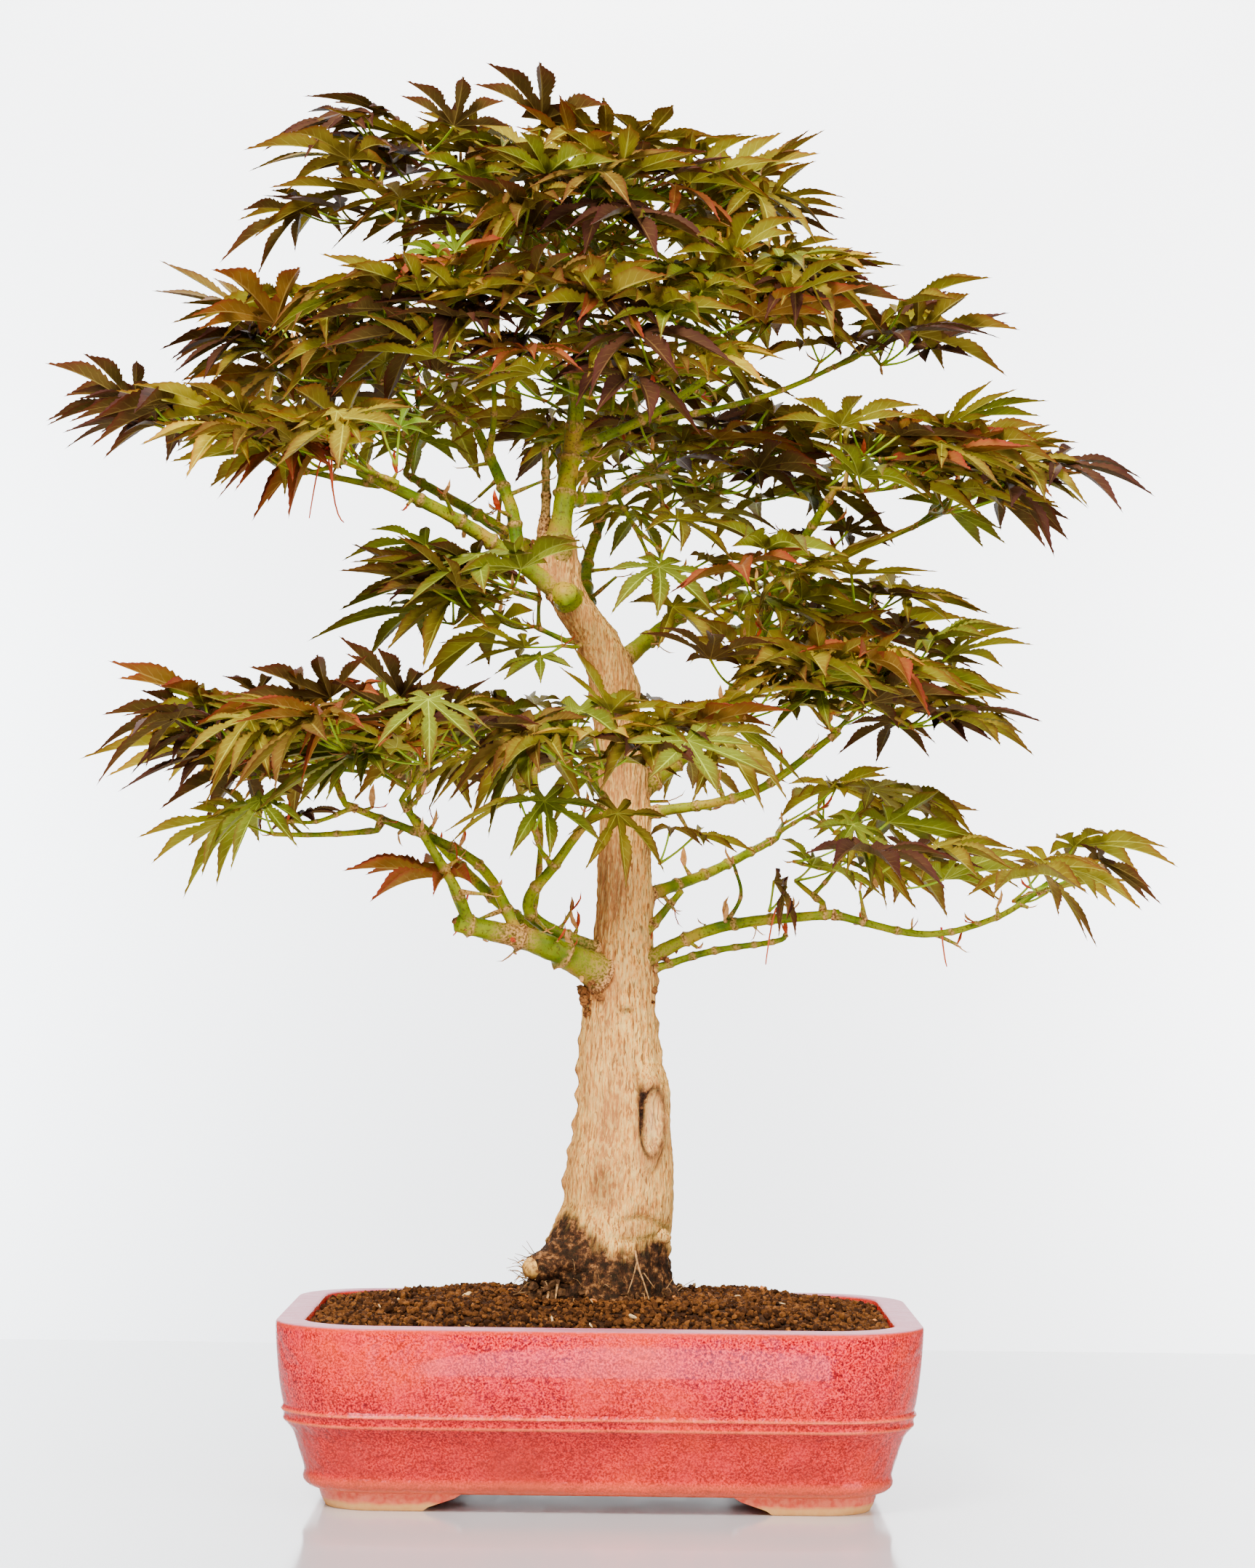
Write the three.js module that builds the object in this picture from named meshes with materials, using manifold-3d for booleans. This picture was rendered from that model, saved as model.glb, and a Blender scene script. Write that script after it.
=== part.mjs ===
// A bonsai Japanese maple in a glazed ceramic pot. Millimetres, +Z up, seen from the front along +Y.
// Everything is laid out from the middle of the pot, and the whole is then moved so that the origin
// lies under the middle of the finished piece, on the surface that the pot's feet stand on.
import * as THREE from 'three';
import { mergeVertices } from 'three/addons/utils/BufferGeometryUtils.js';
import Module from 'manifold-3d';

const wasm = await Module();
wasm.setup();

// Clearance between neighbours that are fitted to each other
const GAP = 0.3;

// Pot: outer rim, and its wall as [inset from the rim, height] going up outside and down inside
const POT = { length: 354, width: 257, corner: 56, cornerSteps: 5 };
const POT_OUTSIDE = [
  [23, 10], [18.5, 12.2], [16.4, 16], [16.9, 19.4], [15.5, 24.7], [12.4, 34.7], [8.8, 42.6], [5.6, 46.5],
  [4, 52.5], [4.6, 55.5], [2.2, 70], [0.4, 90], [0, 98.5], [1.2, 100],
];
const POT_INSIDE = [[14.5, 100], [16, 98.5], [17.5, 55], [22, 28], [34, 20]];
const DRAIN = { radius: 11, fromMiddle: 85, sides: 12 };

// Feet: an L round each corner, as [height, inset, end along the length, end along the width]
const FOOT_DEPTH = 15;
const FOOT_LEVELS = [[0, 29, 94, 58], [2.5, 27.5, 92, 56], [6, 25.5, 82, 50], [10, 24, 75, 44]];

// Soil: its sides as [inset, height], then its heaped top as [share of the plan, height]
const SOIL_SIDES = [[34.4, 20.3], [22.4, 28.3], [18, 55], [17, 94.5]];
const SOIL_TOP = [[0.9, 98.6], [0.78, 101.9], [0.64, 105.1], [0.49, 108]];
// Lumps on the heap's slope: height, and how far the waves reach along and across the pot
const SOIL_LUMPS = { height: 2.2, along: 12.5, across: 11.5, turn: 0.8 };
const SOIL_SIDE_PIECES = { long: 6, short: 3, bow: 0.1 };
const GROUND = 108;

// Trunk: [height, sideways, towards the back, half width], with a flare of root ridges at its foot
const TRUNK = [
  [108, -0.5, 0, 43], [114, -0.8, 0, 41.5], [122, -0.6, 0, 39.5], [134, 1.6, 0, 36], [148, 6, 0, 33],
  [160, 9.3, 0, 30.7], [180, 9.5, 0, 30.2], [200, 11.3, 0, 27.4], [226, 12.2, 0, 25], [242, 8.8, 0, 22.3],
  [268, 8.6, 0, 20.6], [287, 9.6, 0, 20.4], [303, 10, 0, 17.4], [330, 11, 0, 15.4], [380, 10.9, 0, 14.6],
  [405, 8.6, -1, 14.1], [430, 5.2, -3, 12.8], [455, 3.1, -5, 14], [474, -3.5, -8, 12.6],
  [490, -14.8, -10, 13.4], [504, -24.6, -11, 11.9], [516, -30.6, -12, 12.8], [526, -31.8, -12, 13.4],
  [535, -31.5, -12, 12.4],
];
const TRUNK_SIDES = 12;
const TRUNK_DEPTH = 0.92;
const FLARE = { ridges: 5, share: 0.09, fade: 14, turn: 0.6 };
// Stubs that grow in one with the trunk: [from, to, radii]
const STUBS = [
  { from: [-16, -20, 125], to: [-43, -29, 126], radii: [13, 8.5] },
  { from: [12, -3, 300], to: [43, -8, 337], radii: [3, 1.7] },
  { from: [-14, -12, 492], to: [-23, -27, 503], radii: [6, 5.4] },
];
const STUB_SIDES = 7;

// Boughs: name, the trunk and a height on it or another bough and a share of its length, the places
// that it passes, its tip, and its radii at both ends
const BOUGHS = [
  ['bough_left_low', 'trunk', 284, [[-36, -32, 306]], [-82, -50, 317], [9, 5]],
  ['bough_left_low_front', 'bough_left_low', 0.93, [[-84, -60, 338]], [-110, -70, 380], [3.4, 2]],
  ['bough_left_low_outer', 'bough_left_low', 0.66, [[-74, -36, 352]], [-140, -58, 380], [3.4, 1.9]],
  ['bough_left_low_back', 'bough_left_low', 0.32, [[-62, 22, 330]], [-112, 62, 378], [4.2, 2.2]],
  ['bough_front_low', 'trunk', 296, [[-42, -26, 323], [-27, -38, 352]], [-3, -48, 384], [4.4, 2.1]],
  ['bough_right_low', 'trunk', 290, [[62, -18, 316]], [131, -30, 325], [4, 2.5]],
  [
    'bough_right_low_outer', 'bough_right_low', 0.97, [[178, -32, 314], [217, -32, 323]], [243, -30, 339],
    [2.3, 1.5],
  ],
  ['bough_right_low_back', 'trunk', 330, [[58, 42, 348]], [96, 72, 368], [4, 2.2]],
  ['bough_back_low', 'trunk', 350, [[18, 62, 378]], [8, 106, 402], [4.5, 2.4]],
  ['bough_right_mid_thin', 'trunk', 379, [[80, -24, 392]], [126, -34, 424], [3.2, 1.9]],
  ['bough_right_mid', 'trunk', 388, [[52, 18, 425]], [86, 26, 470], [6.5, 4]],
  ['bough_right_front', 'bough_right_mid', 0.95, [[96, 6, 512]], [124, -15, 560], [3.5, 2.3]],
  ['bough_right_upper', 'trunk', 462, [[51, 48, 505]], [98, 64, 532], [5.2, 3]],
  ['bough_back_upper', 'trunk', 482, [[-14, 62, 525]], [-4, 104, 565], [4.6, 2.6]],
  ['bough_left_up', 'trunk', 502, [[-82, -46, 540]], [-140, -60, 567], [5.2, 2.7]],
  ['bough_left_rise', 'bough_left_up', 0.27, [[-56, -24, 552]], [-76, -2, 597], [4.2, 2.7]],
  ['bough_left_back', 'trunk', 520, [[-74, 34, 552]], [-118, 72, 580], [4.2, 2.4]],
  ['bough_apex', 'trunk', 517, [[-27, -24, 548], [-21, -8, 600]], [-18, 0, 652], [6.6, 4]],
  ['bough_right_fork', 'bough_apex', 0.3, [[4, 22, 566]], [30, 46, 590], [4, 2.6]],
  ['bough_crown_right', 'bough_apex', 0.52, [[24, -24, 606]], [68, -30, 636], [3.2, 2]],
  ['bough_apex_top', 'bough_apex', 0.97, [[-28, -4, 700]], [-38, -6, 734], [3.6, 2]],
].map(([name, on, at, via, tip, radii]) => ({ name, on, at, via, tip, radii }));
const BOUGH = { sides: 6, step: 26, fewestSteps: 3 };

// Foliage masses: name, the limb that the stem leaves and where on it, the middle and the half sizes of
// the space that holds the shoot tips, how many shoots it has, and how far its leaves hang in degrees
const MASSES = [
  ['leaves_right_low_tip', 'bough_right_low_outer', 1, [234, -28, 337], [18, 14, 5], 3, 2],
  ['leaves_right_low', 'bough_right_low', 0.93, [134, -34, 348], [42, 26, 12], 6, 2],
  ['leaves_right_low_back', 'bough_right_low_back', 1, [140, 86, 380], [38, 30, 10], 6, 4],
  ['leaves_left_low_hang', 'bough_left_low_outer', 0.86, [-180, -58, 364], [6, 6, 3], 1, 42],
  ['leaves_left_low_outer', 'bough_left_low_outer', 1, [-188, -42, 410], [38, 32, 18], 8, 2],
  ['leaves_left_low_front', 'bough_left_low_front', 1, [-112, -82, 416], [48, 28, 14], 9, 4],
  ['leaves_left_low_inner', 'bough_front_low', 0.45, [-62, -2, 416], [36, 34, 14], 6, 2],
  ['leaves_left_low_back', 'bough_left_low_back', 1, [-146, 90, 408], [46, 34, 14], 6, 4],
  ['leaves_front_low', 'bough_front_low', 1, [10, -76, 406], [36, 20, 12], 6, 10],
  ['leaves_back_low', 'bough_back_low', 1, [0, 110, 420], [46, 26, 14], 6, 6],
  ['leaves_right_mid_front', 'bough_right_mid_thin', 1, [144, -42, 442], [40, 30, 16], 7, 0],
  ['leaves_right_mid_near', 'bough_right_mid', 0.55, [84, -58, 446], [28, 18, 16], 5, 0],
  ['leaves_right_mid', 'bough_right_front', 0.4, [106, -26, 496], [54, 34, 12], 7, 2],
  ['leaves_right_back', 'bough_right_upper', 0.7, [110, 88, 494], [52, 34, 26], 7, 4],
  ['leaves_left_shoulder', 'trunk', 478, [-64, -22, 498], [30, 30, 18], 7, 2],
  ['leaves_right_up_front', 'bough_right_front', 1, [144, -32, 576], [44, 32, 16], 8, 0],
  ['leaves_right_far', 'bough_right_upper', 0.9, [198, 26, 562], [26, 30, 12], 5, 0],
  ['leaves_right_sprig', 'bough_crown_right', 0.5, [146, -6, 644], [10, 9, 8], 3, -22],
  ['leaves_left_up_under', 'bough_left_up', 0.85, [-160, -70, 572], [38, 24, 10], 6, 2],
  ['leaves_left_sprig', 'bough_left_up', 0.9, [-238, -20, 594], [12, 14, 5], 3, -2],
  ['leaves_left_crown', 'bough_left_rise', 1, [-150, -10, 636], [46, 40, 20], 9, 2],
  ['leaves_left_crown_front', 'bough_left_rise', 0.8, [-84, -76, 642], [42, 22, 24], 8, 4],
  ['leaves_left_back', 'bough_left_back', 1, [-130, 92, 614], [48, 34, 22], 7, 4],
  ['leaves_crown_front', 'bough_apex', 0.6, [4, -78, 630], [42, 22, 28], 9, 4],
  ['leaves_crown_right', 'bough_crown_right', 1, [70, -36, 662], [36, 32, 24], 8, 0],
  ['leaves_crown_back', 'bough_back_upper', 1, [-2, 106, 616], [52, 30, 28], 7, 6],
  ['leaves_crown_heart', 'bough_right_fork', 0.6, [54, 50, 574], [40, 34, 30], 8, 2],
  ['leaves_top_left', 'bough_apex', 0.86, [-118, -8, 732], [36, 30, 28], 8, -2],
  ['leaves_top_front', 'bough_apex', 0.94, [-18, -56, 706], [44, 26, 18], 8, 2],
  ['leaves_top_right', 'bough_apex_top', 0.5, [30, -4, 726], [32, 32, 16], 7, -4],
  ['leaves_apex', 'bough_apex_top', 1, [-26, -8, 743], [28, 26, 8], 6, -10],
  ['leaves_top_back', 'bough_apex_top', 0.2, [-26, 70, 704], [46, 32, 20], 7, 4],
].map(([name, on, at, middle, spread, shoots, hang]) => ({ name, on, at, middle, spread, shoots, hang }));
const SHOOT = {
  stemRadius: 1.7, radius: 1.2, sideShare: 0.8, collar: 5, deepest: 1.5, clearOfLimbs: 0.4, triesPerTip: 7,
  flatness: 2, roundness: 0.6,
};
const JOINT_SHARES = [0.35, 0.6, 0.85];
const JOINT_LENGTH = 3;
const CELL = { flatness: 2.2, reach: 34, overhang: 16 };

// Leaf: seven pointed lobes as [angle from the middle lobe in degrees, share of the middle lobe's length]
const LEAF = { length: 54, thickness: 1.8, petiole: 32, petioleRadius: 0.8, baseBack: 2.2, cup: -0.08 };
const LOBES = [[-128, 0.34], [-80, 0.7], [-39, 0.92], [0, 1], [39, 0.92], [80, 0.7], [128, 0.34]];
const NOTCHES = [[-103, 0.2], [-59, 0.26], [-19, 0.32], [19, 0.32], [59, 0.26], [103, 0.2]];
const LEAF_LIFTS = [0, 6, -6, 12, -12];
const CLEAR_OF_NODE = 4;
// Leaves of a shoot: one to its left, one to its right, and on some shoots one straight ahead
const LEAF_SIDES = [1, -1, 0];
const MIDDLE_LEAF_SHARE = 0.2;

const COLOURS = {
  glaze: ['#c4525a', 0.2], fired: ['#d9b48a', 0.8], soil: ['#3a2418', 0.95], bark: ['#b59a78', 0.85],
  youngBark: ['#8c9a3a', 0.6], leaf: ['#5c5a1e', 0.6],
};

const degrees = THREE.MathUtils.degToRad;
const vector = (place) => new THREE.Vector3(...place);

function material([colour, roughness]) {
  return new THREE.MeshStandardMaterial({ color: colour, roughness, metalness: 0 });
}

// A closed solid through rings of points that run anticlockwise seen from the end of the loft
function loft(rings) {
  const count = rings[0].length;
  const positions = rings.flat().flatMap((p) => [p.x, p.y, p.z]);
  const faces = [];
  for (let level = 0; level + 1 < rings.length; level += 1) {
    for (let i = 0; i < count; i += 1) {
      const a = level * count + i;
      const b = level * count + (i + 1) % count;
      faces.push(a, b, b + count, a, b + count, a + count);
    }
  }
  const last = (rings.length - 1) * count;
  for (const [a, b, c] of capOf(rings[0])) faces.push(a, c, b);
  for (const [a, b, c] of capOf(rings[rings.length - 1])) faces.push(last + a, last + b, last + c);
  const geometry = new THREE.BufferGeometry();
  geometry.setAttribute('position', new THREE.Float32BufferAttribute(positions, 3));
  geometry.setIndex(faces);
  return geometry;
}

// Triangles over a flat ring, found in the plane that it lies in
function capOf(ring) {
  const normal = new THREE.Vector3();
  ring.forEach((p, i) => normal.add(p.clone().cross(ring[(i + 1) % ring.length])));
  const turn = new THREE.Quaternion().setFromUnitVectors(normal.normalize(), new THREE.Vector3(0, 0, 1));
  const flat = ring.map((p) => p.clone().applyQuaternion(turn)).map((p) => new THREE.Vector2(p.x, p.y));
  return THREE.ShapeUtils.triangulateShape(flat, []);
}

function solid(geometry) {
  const plain = geometry.clone();
  plain.deleteAttribute('normal');
  plain.deleteAttribute('uv');
  const merged = mergeVertices(plain);
  const vertProperties = merged.getAttribute('position').array;
  return new wasm.Manifold(new wasm.Mesh({ numProp: 3, vertProperties, triVerts: merged.index.array }));
}

// The largest body of a solid, without loose scraps and with any sealed hollow filled
function wholeBody(shape) {
  return shape.decompose().reduce((best, body) => (body.volume() > best.volume() ? body : best));
}

function meshOf(name, shape, finish) {
  const { vertProperties, triVerts } = shape.getMesh();
  const geometry = new THREE.BufferGeometry();
  geometry.setAttribute('position', new THREE.Float32BufferAttribute(vertProperties, 3));
  geometry.setIndex(new THREE.BufferAttribute(triVerts, 1));
  geometry.computeVertexNormals();
  const mesh = new THREE.Mesh(geometry, finish);
  mesh.name = name;
  return mesh;
}

// Pot, feet and soil

function cornerArc(halfLength, halfWidth, corner, quarter) {
  const centre = new THREE.Vector2(
    (halfLength - corner) * [1, -1, -1, 1][quarter],
    (halfWidth - corner) * [1, 1, -1, -1][quarter],
  );
  return Array.from({ length: POT.cornerSteps + 1 }, (_, i) => {
    const angle = (quarter + i / POT.cornerSteps) * Math.PI / 2;
    return new THREE.Vector2(Math.cos(angle), Math.sin(angle)).multiplyScalar(corner).add(centre);
  });
}

function potRing(inset, height, scale = 1) {
  const corner = Math.max(POT.corner - inset, 2);
  return [0, 1, 2, 3]
    .flatMap((quarter) => cornerArc(POT.length / 2 - inset, POT.width / 2 - inset, corner, quarter))
    .map((p) => new THREE.Vector3(p.x * scale, p.y * scale, height));
}

function makePot() {
  let pot = solid(loft([...POT_OUTSIDE, ...POT_INSIDE].map(([inset, height]) => potRing(inset, height))));
  const floorTop = POT_INSIDE[POT_INSIDE.length - 1][1];
  for (const side of [-1, 1]) {
    const hole = new THREE.CylinderGeometry(DRAIN.radius, DRAIN.radius, floorTop * 2, DRAIN.sides);
    hole.rotateX(Math.PI / 2).translate(side * DRAIN.fromMiddle, 0, floorTop);
    pot = pot.subtract(solid(hole));
  }
  return pot;
}

function makeFoot(sideways, backwards) {
  const rings = FOOT_LEVELS.map(([height, inset, endX, endY]) => {
    const wall = (extra) => {
      const [x, y] = [POT.length / 2 - inset - extra, POT.width / 2 - inset - extra];
      const arc = cornerArc(x, y, Math.max(POT.corner - inset - extra, 2), 0);
      return [new THREE.Vector2(x, endY), ...arc, new THREE.Vector2(endX, y)];
    };
    const ring = [...wall(0), ...wall(FOOT_DEPTH).reverse()]
      .map((p) => new THREE.Vector3(p.x * sideways, p.y * backwards, height));
    return sideways * backwards > 0 ? ring : ring.reverse();
  });
  return solid(loft(rings));
}

// The ring's straight sides cut into shorter ones, bowed out a hair so that no three points line up
function withShortSides(ring) {
  const { long, short, bow } = SOIL_SIDE_PIECES;
  const arc = POT.cornerSteps + 1;
  return ring.flatMap((from, i) => {
    if ((i + 1) % arc) return [from];
    const pieces = (i + 1) % (2 * arc) ? long : short;
    const way = ring[(i + 1) % ring.length].clone().sub(from);
    const out = new THREE.Vector3(way.y, -way.x, 0).normalize();
    return Array.from({ length: pieces }, (_, k) => from.clone()
      .addScaledVector(way, k / pieces)
      .addScaledVector(out, Math.sin(Math.PI * k / pieces) * bow));
  });
}

function lumpAt({ x, y }) {
  const { height, along, across, turn } = SOIL_LUMPS;
  return height * Math.sin(x / along + turn) * Math.cos(y / across);
}

function makeSoil() {
  const sides = SOIL_SIDES.map(([inset, height]) => withShortSides(potRing(inset, height)));
  const edge = SOIL_SIDES[SOIL_SIDES.length - 1][0];
  const [plateau] = SOIL_TOP[SOIL_TOP.length - 1];
  const top = SOIL_TOP.map(([share, height]) => {
    const slope = Math.sin(Math.PI * (share - plateau) / (1 - plateau));
    return withShortSides(potRing(edge, height, share)).map((p) => p.setZ(height + slope * lumpAt(p)));
  });
  return solid(loft([...sides, ...top]));
}

// Trunk and boughs

function trunkAt(height) {
  const upper = Math.max(1, TRUNK.findIndex(([z]) => z >= height));
  const [low, high] = [TRUNK[upper - 1], TRUNK[upper]];
  const share = (height - low[0]) / (high[0] - low[0]);
  const [x, y, radius] = [1, 2, 3].map((i) => THREE.MathUtils.lerp(low[i], high[i], share));
  return { place: new THREE.Vector3(x, y, height), radius };
}

function makeTrunk(grow) {
  const rings = TRUNK.map(([height, x, y, radius]) => Array.from({ length: TRUNK_SIDES }, (_, i) => {
    const angle = i / TRUNK_SIDES * Math.PI * 2;
    const fade = Math.exp((GROUND - height) / FLARE.fade);
    const ridge = 1 + FLARE.share * fade * Math.cos(FLARE.ridges * angle + FLARE.turn);
    const reach = radius * ridge + grow;
    return new THREE.Vector3(x + Math.cos(angle) * reach, y + Math.sin(angle) * reach * TRUNK_DEPTH, height);
  }));
  const stubs = STUBS
    .map(({ from, to, radii }) => solid(tube([from, to].map(vector), radii, grow, STUB_SIDES, 1)));
  return wholeBody(stubs.reduce((trunk, stub) => trunk.add(stub), solid(loft(rings))));
}

// A tapering limb along a smooth curve through a few places
function tube(places, [baseRadius, tipRadius], grow, sides, steps) {
  const curve = new THREE.CatmullRomCurve3(places, false, 'centripetal');
  const { normals, binormals } = curve.computeFrenetFrames(steps);
  const rings = Array.from({ length: steps + 1 }, (_, level) => {
    const share = level / steps;
    const centre = curve.getPointAt(share);
    const radius = THREE.MathUtils.lerp(baseRadius, tipRadius, share) + grow;
    return Array.from({ length: sides }, (__, i) => {
      const angle = i / sides * Math.PI * 2;
      return centre.clone()
        .addScaledVector(normals[level], Math.cos(angle) * radius)
        .addScaledVector(binormals[level], Math.sin(angle) * radius);
    });
  });
  return loft(rings);
}

function boughPlaces(bough) {
  return [placeOn(bough.on, bough.at).place, ...bough.via.map(vector), vector(bough.tip)];
}

// Where a limb is at a height of the trunk, or at a share of a bough's length
function placeOn(limb, at) {
  if (limb === 'trunk') return { ...trunkAt(at), tangent: new THREE.Vector3(0, 0, 1) };
  const bough = BOUGHS.find(({ name }) => name === limb);
  const curve = new THREE.CatmullRomCurve3(boughPlaces(bough), false, 'centripetal');
  const radius = THREE.MathUtils.lerp(bough.radii[0], bough.radii[1], at);
  return { place: curve.getPointAt(at), tangent: curve.getTangentAt(at), radius };
}

function makeBough(bough, grow) {
  const places = boughPlaces(bough);
  const length = new THREE.CatmullRomCurve3(places, false, 'centripetal').getLength();
  const steps = Math.max(BOUGH.fewestSteps, Math.round(length / BOUGH.step));
  return solid(tube(places, bough.radii, grow, BOUGH.sides, steps));
}

// Foliage

// The same numbers for the same seed, between 0 and 1
function seededRandom(seed) {
  let state = seed;
  return () => {
    state = (state * 1664525 + 1013904223) % 4294967296;
    return state / 4294967296;
  };
}

const between = (random, low, high) => low + (high - low) * random();

function distanceFlattened(a, b, flatness) {
  return Math.hypot(a.x - b.x, a.y - b.y, (a.z - b.z) * flatness);
}

// Shoot tips spread evenly through a mass: each is the best of a few places drawn at random
function shootTips(mass, random) {
  const tips = [];
  for (let shoot = 0; shoot < mass.shoots; shoot += 1) {
    let best = null;
    let room = -1;
    for (let attempt = 0; attempt < SHOOT.triesPerTip; attempt += 1) {
      const angle = random() * Math.PI * 2;
      const out = Math.sqrt(random());
      const up = between(random, -1, 1) * Math.sqrt(1 - out * out * SHOOT.roundness);
      const tip = vector([
        mass.middle[0] + Math.cos(angle) * out * mass.spread[0],
        mass.middle[1] + Math.sin(angle) * out * mass.spread[1],
        mass.middle[2] + up * mass.spread[2],
      ]);
      const nearest = Math.min(...tips.map((other) => distanceFlattened(tip, other, SHOOT.flatness)), 1e3);
      if (nearest > room) {
        best = tip;
        room = nearest;
      }
    }
    tips.push(best);
  }
  return tips;
}

// The stem's first two places: clear of the limb it leaves, at its tip or from its side
function stemStart(mass, towards, clearance) {
  const { place, tangent, radius } = placeOn(mass.on, mass.at);
  if (mass.at === 1) {
    return [GAP, SHOOT.collar].map((out) => place.clone().addScaledVector(tangent, out));
  }
  const way = towards.clone().sub(place);
  way.addScaledVector(tangent, -way.dot(tangent)).normalize();
  return [0, SHOOT.collar].map((out) => place.clone().addScaledVector(way, radius + clearance + out));
}

// Twigs from one stem: each shoot tip joins the nearest place on what has grown already
function growTwigs(mass, random) {
  const tips = shootTips(mass, random);
  const { place: foot } = placeOn(mass.on, mass.at);
  tips.sort((a, b) => a.distanceTo(foot) - b.distanceTo(foot));
  const stem = (clearance) => ({
    places: [...stemStart(mass, tips[0], clearance), tips[0]],
    radii: [SHOOT.stemRadius, SHOOT.radius],
    joints: [],
  });
  let clearance = GAP - SHOOT.deepest;
  while (touches(twigSolid(stem(clearance), 0), [boxed(grownLimbs.get(mass.on))])) clearance += GAP;
  const twigs = [stem(clearance)];
  for (const tip of tips.slice(1)) {
    let joint = null;
    for (const twig of twigs) {
      const [from, to] = twig.places.slice(-2);
      for (const share of JOINT_SHARES) {
        const place = from.clone().lerp(to, share);
        const away = place.distanceTo(tip);
        if (!joint || away < joint.away) joint = { twig, share, place, away };
      }
    }
    const radii = [SHOOT.radius, SHOOT.radius * SHOOT.sideShare];
    const grown = { places: [joint.place, tip], radii, joints: [] };
    joint.twig.joints.push({ share: joint.share, twig: grown });
    twigs.push(grown);
  }
  return twigs;
}

// The leaves at a shoot's tip: a pair to left and right, and sometimes one straight ahead
function leavesOf(twig, mass, random) {
  const tip = twig.places[twig.places.length - 1];
  const along = tip.clone().sub(twig.places[0]).setZ(0).normalize();
  const outward = new THREE.Vector3(tip.x, tip.y, 0).normalize();
  const heading = along.multiplyScalar(0.5).add(outward);
  const course = Math.atan2(heading.y, heading.x);
  const leaves = [];
  for (const side of LEAF_SIDES) {
    const turn = course + degrees(side * between(random, 42, 70) + between(random, -14, 14));
    const petiole = LEAF.petiole * between(random, 0.7, 1.2);
    const rise = degrees(between(random, 8, 42));
    const length = LEAF.length * between(random, 0.78, 1.1);
    const hang = degrees(mass.hang + between(random, -11, 13));
    const roll = degrees(between(random, -12, 12));
    const yaw = turn + degrees(-side * between(random, 8, 30));
    const kept = side !== 0 || random() < MIDDLE_LEAF_SHARE;
    const junction = tip.clone().add(vector([
      Math.cos(turn) * Math.cos(rise) * petiole,
      Math.sin(turn) * Math.cos(rise) * petiole,
      Math.sin(rise) * petiole,
    ]));
    if (kept) leaves.push({ node: tip, junction, yaw, hang, roll, length });
  }
  return leaves;
}

// A blade's outline, from the right of the stalk round to its left, then its middle above and below
function bladePoints({ junction, yaw, hang, roll, length }, lift) {
  const frame = new THREE.Matrix4()
    .makeRotationZ(yaw)
    .multiply(new THREE.Matrix4().makeRotationY(hang))
    .multiply(new THREE.Matrix4().makeRotationX(roll))
    .setPosition(junction.clone().setZ(junction.z + lift));
  const polar = ([angle, share]) => {
    const [x, y] = [Math.cos(degrees(angle)), Math.sin(degrees(angle))];
    return new THREE.Vector3(x * share, y * share, -LEAF.cup * share * share).multiplyScalar(length);
  };
  const lobes = LOBES.flatMap((lobe, i) => (i ? [polar(NOTCHES[i - 1]), polar(lobe)] : [polar(lobe)]));
  return [
    new THREE.Vector3(-LEAF.baseBack, -LEAF.petioleRadius, 0),
    ...lobes,
    new THREE.Vector3(-LEAF.baseBack, LEAF.petioleRadius, 0),
    new THREE.Vector3(0, 0, LEAF.thickness / 2),
    new THREE.Vector3(0, 0, -LEAF.thickness / 2),
  ].map((point) => point.applyMatrix4(frame));
}

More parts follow.
